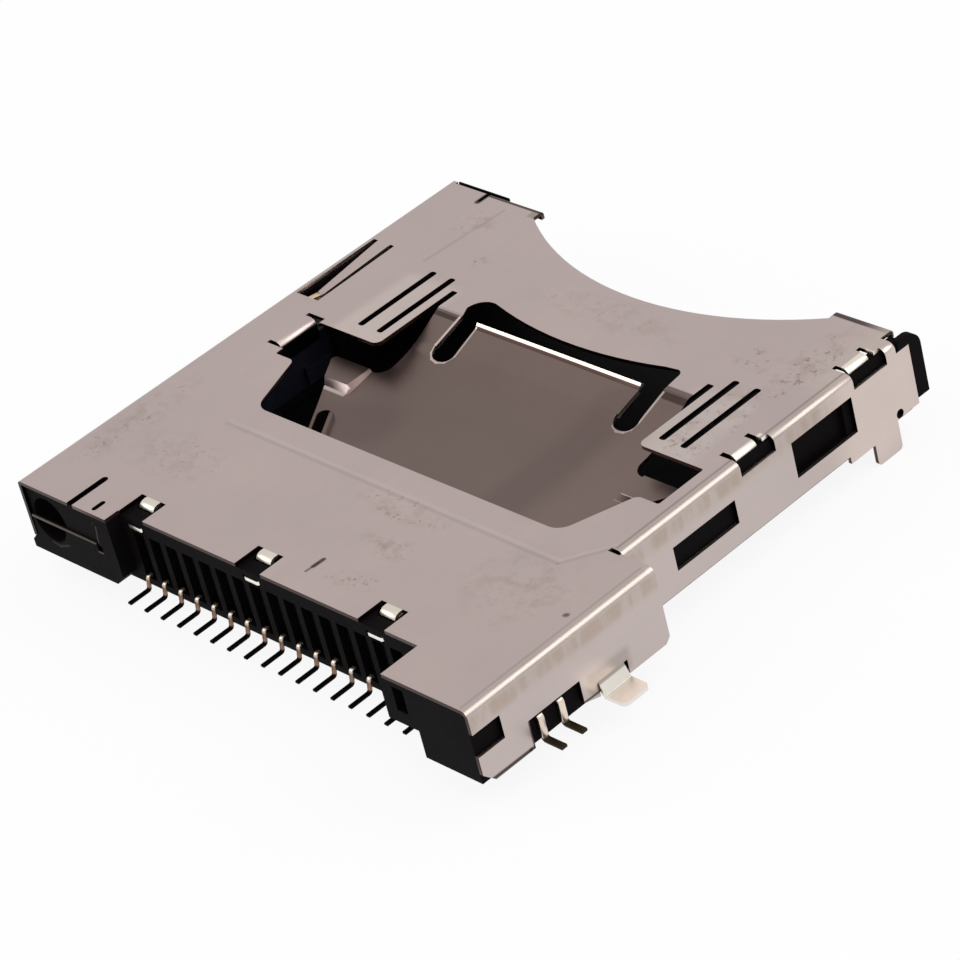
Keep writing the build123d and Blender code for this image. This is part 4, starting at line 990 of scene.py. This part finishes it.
@dataclass
class Shell:
    """The stamped shell with its pressing plate, its slits given with a little room."""

    edge_round: float = 0.05
    slit_middles: tuple[float, ...] = (-13.78, -12.08, 12.08, 13.78)
    slit_half: float = 0.2
    slit_ends: Pair = (4.38, 10.97)
    slit_growth: float = 0.07
    nudges: tuple[Nudge, ...] = (
        # right slot of the plate, leaning
        Nudge((6.9, 5.1, 3.4), (8.9, 6.1, 4.3), (-0.48, 0.0, 0.0)),
        Nudge((6.95, 6.11, 3.4), (7.1, 6.7, 4.4), (-0.32, 0.0, 0.0)),
        Nudge((8.8, 6.11, 3.4), (8.9, 6.7, 4.4), (-0.5, 0.0, 0.0)),
        Nudge((8.8, 8.1, 4.8), (8.9, 8.7, 5.3), (-0.2, 0.0, 0.0)),
        # left slot
        Nudge((-8.9, 5.1, 3.4), (-6.9, 6.1, 4.3), (-0.2, 0.0, 0.0)),
        Nudge((-7.1, 6.11, 3.4), (-6.95, 6.7, 4.4), (-0.22, 0.0, 0.0)),
        Nudge((-8.9, 6.11, 3.4), (-8.8, 6.7, 4.4), (-0.08, 0.0, 0.0)),
        Nudge((-8.9, 8.1, 4.8), (-8.8, 8.7, 5.3), (0.35, 0.0, 0.0)),
        # right corner of the arch
        Nudge((7.9, 9.85, 5.1), (8.9, 10.5, 5.3), (-0.38, -0.22, 0.0)),
        # cam pin leaf
        Nudge((-19.2, 5.3, 4.4), (-19.0, 6.4, 4.9), (-0.24, 0.0, 0.0)),
        Nudge((-18.83, 11.5, 4.9), (-18.74, 12.0, 5.3), (-0.14, 0.0, 0.0)),
        Nudge((-20.25, 11.5, 4.9), (-20.2, 12.0, 5.3), (0.17, 0.0, 0.0)),
        # flange foot behind the solder tab
        Nudge((20.0, -11.8, 0.0), (20.4, -10.55, 0.2), (0.0, 0.0, 0.35)),
    )

    def build(self, steel: Material) -> None:
        """Copy the shell, refine its outline, round its edges and hand it over."""
        piece = merged_copy("top_shell", "stamped_shell")
        for nudge in self.nudges:
            nudge.apply(piece)
        (rear, front), (low, high) = self.slit_ends, SHEET_HEIGHTS
        for middle, side in product(self.slit_middles, (-1, 1)):
            left, right = sorted((middle + side * SLIT_GAP, middle + side * self.slit_half))
            step = (side * self.slit_growth, 0.0, 0.0)
            Nudge((left, rear, low), (right, front, high), step).apply(piece)
        soften(piece, self.edge_round)
        deliver(piece, Slot.SHELL, ROOT_BODY, steel, "top_shell")


@dataclass
class Housing:
    """The moulded housing."""

    edge_round: float = 0.05

    def build(self, plastic: Material) -> None:
        """Copy the housing, round its edges and hand it over."""
        piece = merged_copy("base_housing", "moulded_housing")
        soften(piece, self.edge_round)
        deliver(piece, Slot.HOUSING, ROOT_BODY, plastic, "base_housing")


@dataclass(frozen=True)
class StripRoute:
    """The line that a bent strip follows along X or along Y, in millimetres.

    Its points are distances along its way and heights. The bend is the radius of its
    middle line, and the middle says where that line lies across its way.
    """

    points: tuple[Pair, ...]
    width: float
    thickness: float
    bend: float
    middle: float
    along_x: bool

    def spot(self, pair: Vector) -> Vector:
        """Return a corner of the route in metres."""
        return self.way(pair) + self.across() * self.middle * MM

    def way(self, pair: Vector) -> Vector:
        """Return a step along the route as a step in space, in metres."""
        step = (pair[0], 0.0, pair[1]) if self.along_x else (0.0, pair[0], pair[1])
        return Vector(step) * MM

    def across(self) -> Vector:
        """Return the direction of the strip's width."""
        return Vector((0.0, 1.0, 0.0)) if self.along_x else Vector((1.0, 0.0, 0.0))


def bent_strip(route: StripRoute, name: str) -> Object:
    """Model a strip by extruding its cross-section and spinning it round each bend.

    Args:
        route: The line and the sizes of the strip.
        name: The new piece's name.

    Returns:
        The new piece.
    """
    corners_2d = [Vector(point) for point in route.points]
    bpy.ops.object.select_all(action="DESELECT")
    bpy.ops.mesh.primitive_plane_add(
        size=1.0,
        location=route.spot(corners_2d[0]),
        rotation=(radians(90), 0.0, radians(90) if route.along_x else 0.0),
    )
    piece = bpy.context.active_object
    piece.name = piece.data.name = name
    piece.scale = (route.width * MM, route.thickness * MM, 1.0)
    bpy.ops.object.transform_apply(location=True, rotation=True, scale=True)
    bpy.ops.object.mode_set(mode="EDIT")
    bpy.ops.mesh.select_all(action="SELECT")
    behind = 0.0
    for index in range(1, len(corners_2d)):
        run = corners_2d[index] - corners_2d[index - 1]
        heading = run.normalized()
        if index == len(corners_2d) - 1:
            ahead = 0.0
        else:
            onward = (corners_2d[index + 1] - corners_2d[index]).normalized()
            turn = acos(max(-1.0, min(1.0, heading.dot(onward))))
            ahead = route.bend * tan(turn / 2)
        step = route.way(heading * (run.length - behind - ahead))
        bpy.ops.mesh.extrude_region_move(TRANSFORM_OT_translate={"value": step})
        if ahead > 0.0:
            left = heading.x * onward.y - heading.y * onward.x > 0.0
            inward = Vector((-heading.y, heading.x)) if left else Vector((heading.y, -heading.x))
            centre = corners_2d[index] - heading * ahead + inward * route.bend
            axis = route.way(inward).cross(route.way(heading)).normalized()
            centre_spot = route.spot(centre)
            bpy.ops.mesh.spin(steps=BEND_STEPS, angle=turn, center=centre_spot, axis=axis)
        behind = ahead
    bpy.ops.mesh.select_all(action="SELECT")
    bpy.ops.mesh.remove_doubles(threshold=STRIP_WELD * MM)
    bpy.ops.mesh.normals_make_consistent(inside=False)
    bpy.ops.object.mode_set(mode="OBJECT")
    return piece


@dataclass
class ContactRow:
    """Seventeen sprung contacts, modelled once and copied along the row."""

    count: int = 17
    pitch: float = 1.5
    first_x: float = -11.22
    width: float = 0.3
    thickness: float = 0.16
    bend: float = 0.18
    edge_round: float = 0.03
    tail: tuple[Pair, ...] = ((-18.6, 0.13), (-17.0, 0.13), (-16.82, 0.98))
    sprung: tuple[Pair, ...] = ((-14.2, 0.95), (-11.6, 1.6), (-10.3, 1.15))

    def build(self, gilt: Material) -> None:
        """Model the first contact, copy it to every place and hand the row over."""
        line = (*self.tail, *self.sprung)
        route = StripRoute(line, self.width, self.thickness, self.bend, self.first_x, False)
        first = bent_strip(route, "contact_01_strip")
        soften(first, self.edge_round)
        row = [first]
        for index in range(1, self.count):
            choose(first)
            bpy.ops.object.duplicate(linked=False)
            copy = bpy.context.active_object
            copy.name = copy.data.name = f"contact_{index + 1:02d}_strip"
            bpy.ops.transform.translate(value=(index * self.pitch * MM, 0.0, 0.0))
            bpy.ops.object.transform_apply(location=True, rotation=False, scale=False)
            row.append(copy)
        for index, piece in enumerate(row, start=1):
            deliver(piece, Slot.CONTACT, ROOT_BODY, gilt, f"contact_{index:02d}")


@dataclass
class SwitchStrips:
    """The detect switch's fixed strip and its sprung strip."""

    width: float = 0.44
    thickness: float = 0.2
    bend: float = 0.2
    edge_round: float = 0.035
    fixed_y: float = -14.8
    moving_y: float = -13.22
    tail: tuple[Pair, ...] = ((21.7, 0.13), (20.2, 0.13), (20.2, 1.72))
    fixed_end: tuple[Pair, ...] = ((18.6, 1.72), (18.6, 3.3))
    moving_end: tuple[Pair, ...] = ((18.9, 1.72), (17.9, 2.5), (16.55, 2.5))

    def build(self, gilt: Material) -> None:
        """Model both strips and hand them over."""
        ends = {
            "switch_fixed_contact": (self.fixed_y, self.fixed_end),
            "switch_moving_contact": (self.moving_y, self.moving_end),
        }
        for node, (middle, end) in ends.items():
            line = (*self.tail, *end)
            route = StripRoute(line, self.width, self.thickness, self.bend, middle, True)
            piece = bent_strip(route, node + "_strip")
            soften(piece, self.edge_round)
            deliver(piece, Slot.CONTACT, ROOT_BODY, gilt, node)


@dataclass
class Ejector:
    """Slider, cam pin and return spring."""

    def build(self, plastic: Material, wire: Material) -> None:
        """Dress the moving parts."""
        dress_node("eject_slider", plastic)
        dress_node("cam_pin", wire)
        dress_node("eject_spring", wire)


# ---- studio


@dataclass
class Camera:
    """The photograph's camera."""

    place: Triple = (170.0, -124.17, 138.87)
    azimuth: float = 53.824
    elevation: float = 33.222
    roll: float = -14.789
    lens: float = 160.0
    sensor: float = 36.0
    clip: Pair = (0.01, 20.0)

    def build(self) -> None:
        """Make the camera and turn it as the photograph's was."""
        azimuth, elevation, roll = (radians(a) for a in (self.azimuth, self.elevation, self.roll))
        flat = cos(elevation)
        back = Vector((sin(azimuth) * flat, -cos(azimuth) * flat, sin(elevation)))
        right = Vector((cos(azimuth), sin(azimuth), 0.0))
        up = back.cross(right)
        level = cos(roll) * right + sin(roll) * up
        rise = cos(roll) * up - sin(roll) * right
        data = bpy.data.cameras.new("camera")
        data.lens = self.lens
        data.sensor_width = self.sensor
        data.clip_start, data.clip_end = self.clip
        camera = bpy.data.objects.new("camera", data)
        bpy.context.scene.collection.objects.link(camera)
        turn = Matrix((level, rise, back)).transposed().to_4x4()
        camera.matrix_world = Matrix.Translation(Vector(self.place) * MM) @ turn
        bpy.context.scene.camera = camera


@dataclass
class Studio:
    """Pale floor, even room light and three soft lamps."""

    room_level: float = 0.72
    floor_half: float = 1.6
    floor_white: float = 0.9
    floor_roughness: float = 0.9
    shadow_share: float = 0.1

    def build(self) -> None:
        """Make the room, the floor and the lamps."""
        self._room()
        self._floor()
        self._lamp("overhead", (0.05, -0.05, 0.60), 0.4, 0.35)
        self._lamp("left_rear", (-0.44, -0.36, 0.32), 0.28, 0.7)
        self._lamp("right_front", (0.36, 0.30, 0.40), 0.42, 1.0)

    def _room(self) -> None:
        """Light the scene evenly from all sides."""
        world = bpy.data.worlds.new("room")
        world.use_nodes = True
        bpy.context.scene.world = world
        background = world.node_tree.nodes["Background"]
        level = self.room_level
        background.inputs["Color"].default_value = (level, level, level, 1.0)
        background.inputs["Strength"].default_value = 1.0

    def _floor(self) -> None:
        """Lay a white floor that shows white to the eye and to metal, and keeps a shadow."""
        low = CAD_BOX[0][2]
        bpy.ops.object.select_all(action="DESELECT")
        bpy.ops.mesh.primitive_plane_add(size=2 * self.floor_half, location=(0.0, 0.0, low))
        floor = bpy.context.active_object
        floor.name = "floor"
        bpy.ops.object.transform_apply(location=True, rotation=True, scale=True)
        material = bpy.data.materials.new("floor_white")
        material.use_nodes = True
        graph = Graph(material.node_tree)
        output = material.node_tree.nodes["Material Output"]
        shader = material.node_tree.nodes["Principled BSDF"]
        white = self.floor_white
        shader.inputs["Base Color"].default_value = (white, white, white, 1.0)
        shader.inputs["Roughness"].default_value = self.floor_roughness
        rays = graph.node("LightPath")
        seen = graph.math("MAXIMUM", rays.outputs["Is Camera Ray"], rays.outputs["Is Glossy Ray"])
        seen = graph.math("MAXIMUM", seen, rays.outputs["Is Transmission Ray"])
        glow = graph.node("Emission")
        glow.inputs["Strength"].default_value = 1.0
        mixed = graph.node("MixShader")
        graph.feed(mixed.inputs[0], graph.times(seen, 1.0 - self.shadow_share))
        graph.feed(mixed.inputs[1], shader.outputs[0])
        graph.feed(mixed.inputs[2], glow.outputs[0])
        graph.feed(output.inputs["Surface"], mixed.outputs[0])
        floor.data.materials.append(material)

    def _lamp(self, name: str, place: Triple, size: float, power: float) -> None:
        """Hang one square soft lamp that looks at the socket.

        Args:
            name: The lamp's name.
            place: Where it hangs, in metres.
            size: Its side, in metres.
            power: Its power, in watts.
        """
        data = bpy.data.lights.new(name, "AREA")
        data.size = size
        data.energy = power
        lamp = bpy.data.objects.new(name, data)
        bpy.context.scene.collection.objects.link(lamp)
        aim = Vector(place).to_track_quat("Z", "Y").to_matrix().to_4x4()
        lamp.matrix_world = Matrix.Translation(Vector(place)) @ aim


def main() -> None:
    """Build the socket's pieces in order, then the studio."""
    logging.basicConfig(level=logging.INFO, format="%(name)s: %(message)s")
    bpy.context.scene.view_settings.view_transform = "Standard"
    effects = Effects()
    steel = ShellSteel().material(effects)
    black = (14, 11, 12)
    housing = MouldedPlastic("housing_black", black, 0.6, 0.03, lines=HOUSING_HIGHLIGHTS)
    slider = MouldedPlastic("slider_dark", (26, 27, 38), 0.36, 0.35)
    gilt = PlatedStrip(
        "contact_gilt",
        # painted shade on the rest of each contact
        (14, 10, 9),
        (
            # painted highlights on the contacts' risers, cream near the upper bend
            Zone((-12.0, -17.4, 0.35), (14.0, -16.66, 1.6), (140, 112, 94), 0.12),
            Zone((-12.0, -17.4, 0.9), (14.0, -16.66, 1.6), (214, 197, 180), 0.15),
        ),
    ).material(effects)
    switch = PlatedStrip(
        "switch_gilt",
        # dark olive feet, partly dull plating and partly painted shade
        (56, 47, 36),
        # painted highlight on the switch strips' risers
        (Zone((20.0, -15.5, 0.4), (20.5, -12.5, 2.0), (232, 214, 200), 0.15),),
    ).material(effects)
    wire = DrawnWire("spring_wire_bright", (190, 188, 184)).material(effects)
    Camera().build()
    Shell().build(steel)
    Housing().build(housing.material(effects))
    ContactRow().build(gilt)
    SwitchStrips().build(switch)
    Ejector().build(slider.material(effects), wire)
    Studio().build()


if __name__ == "__main__":
    main()
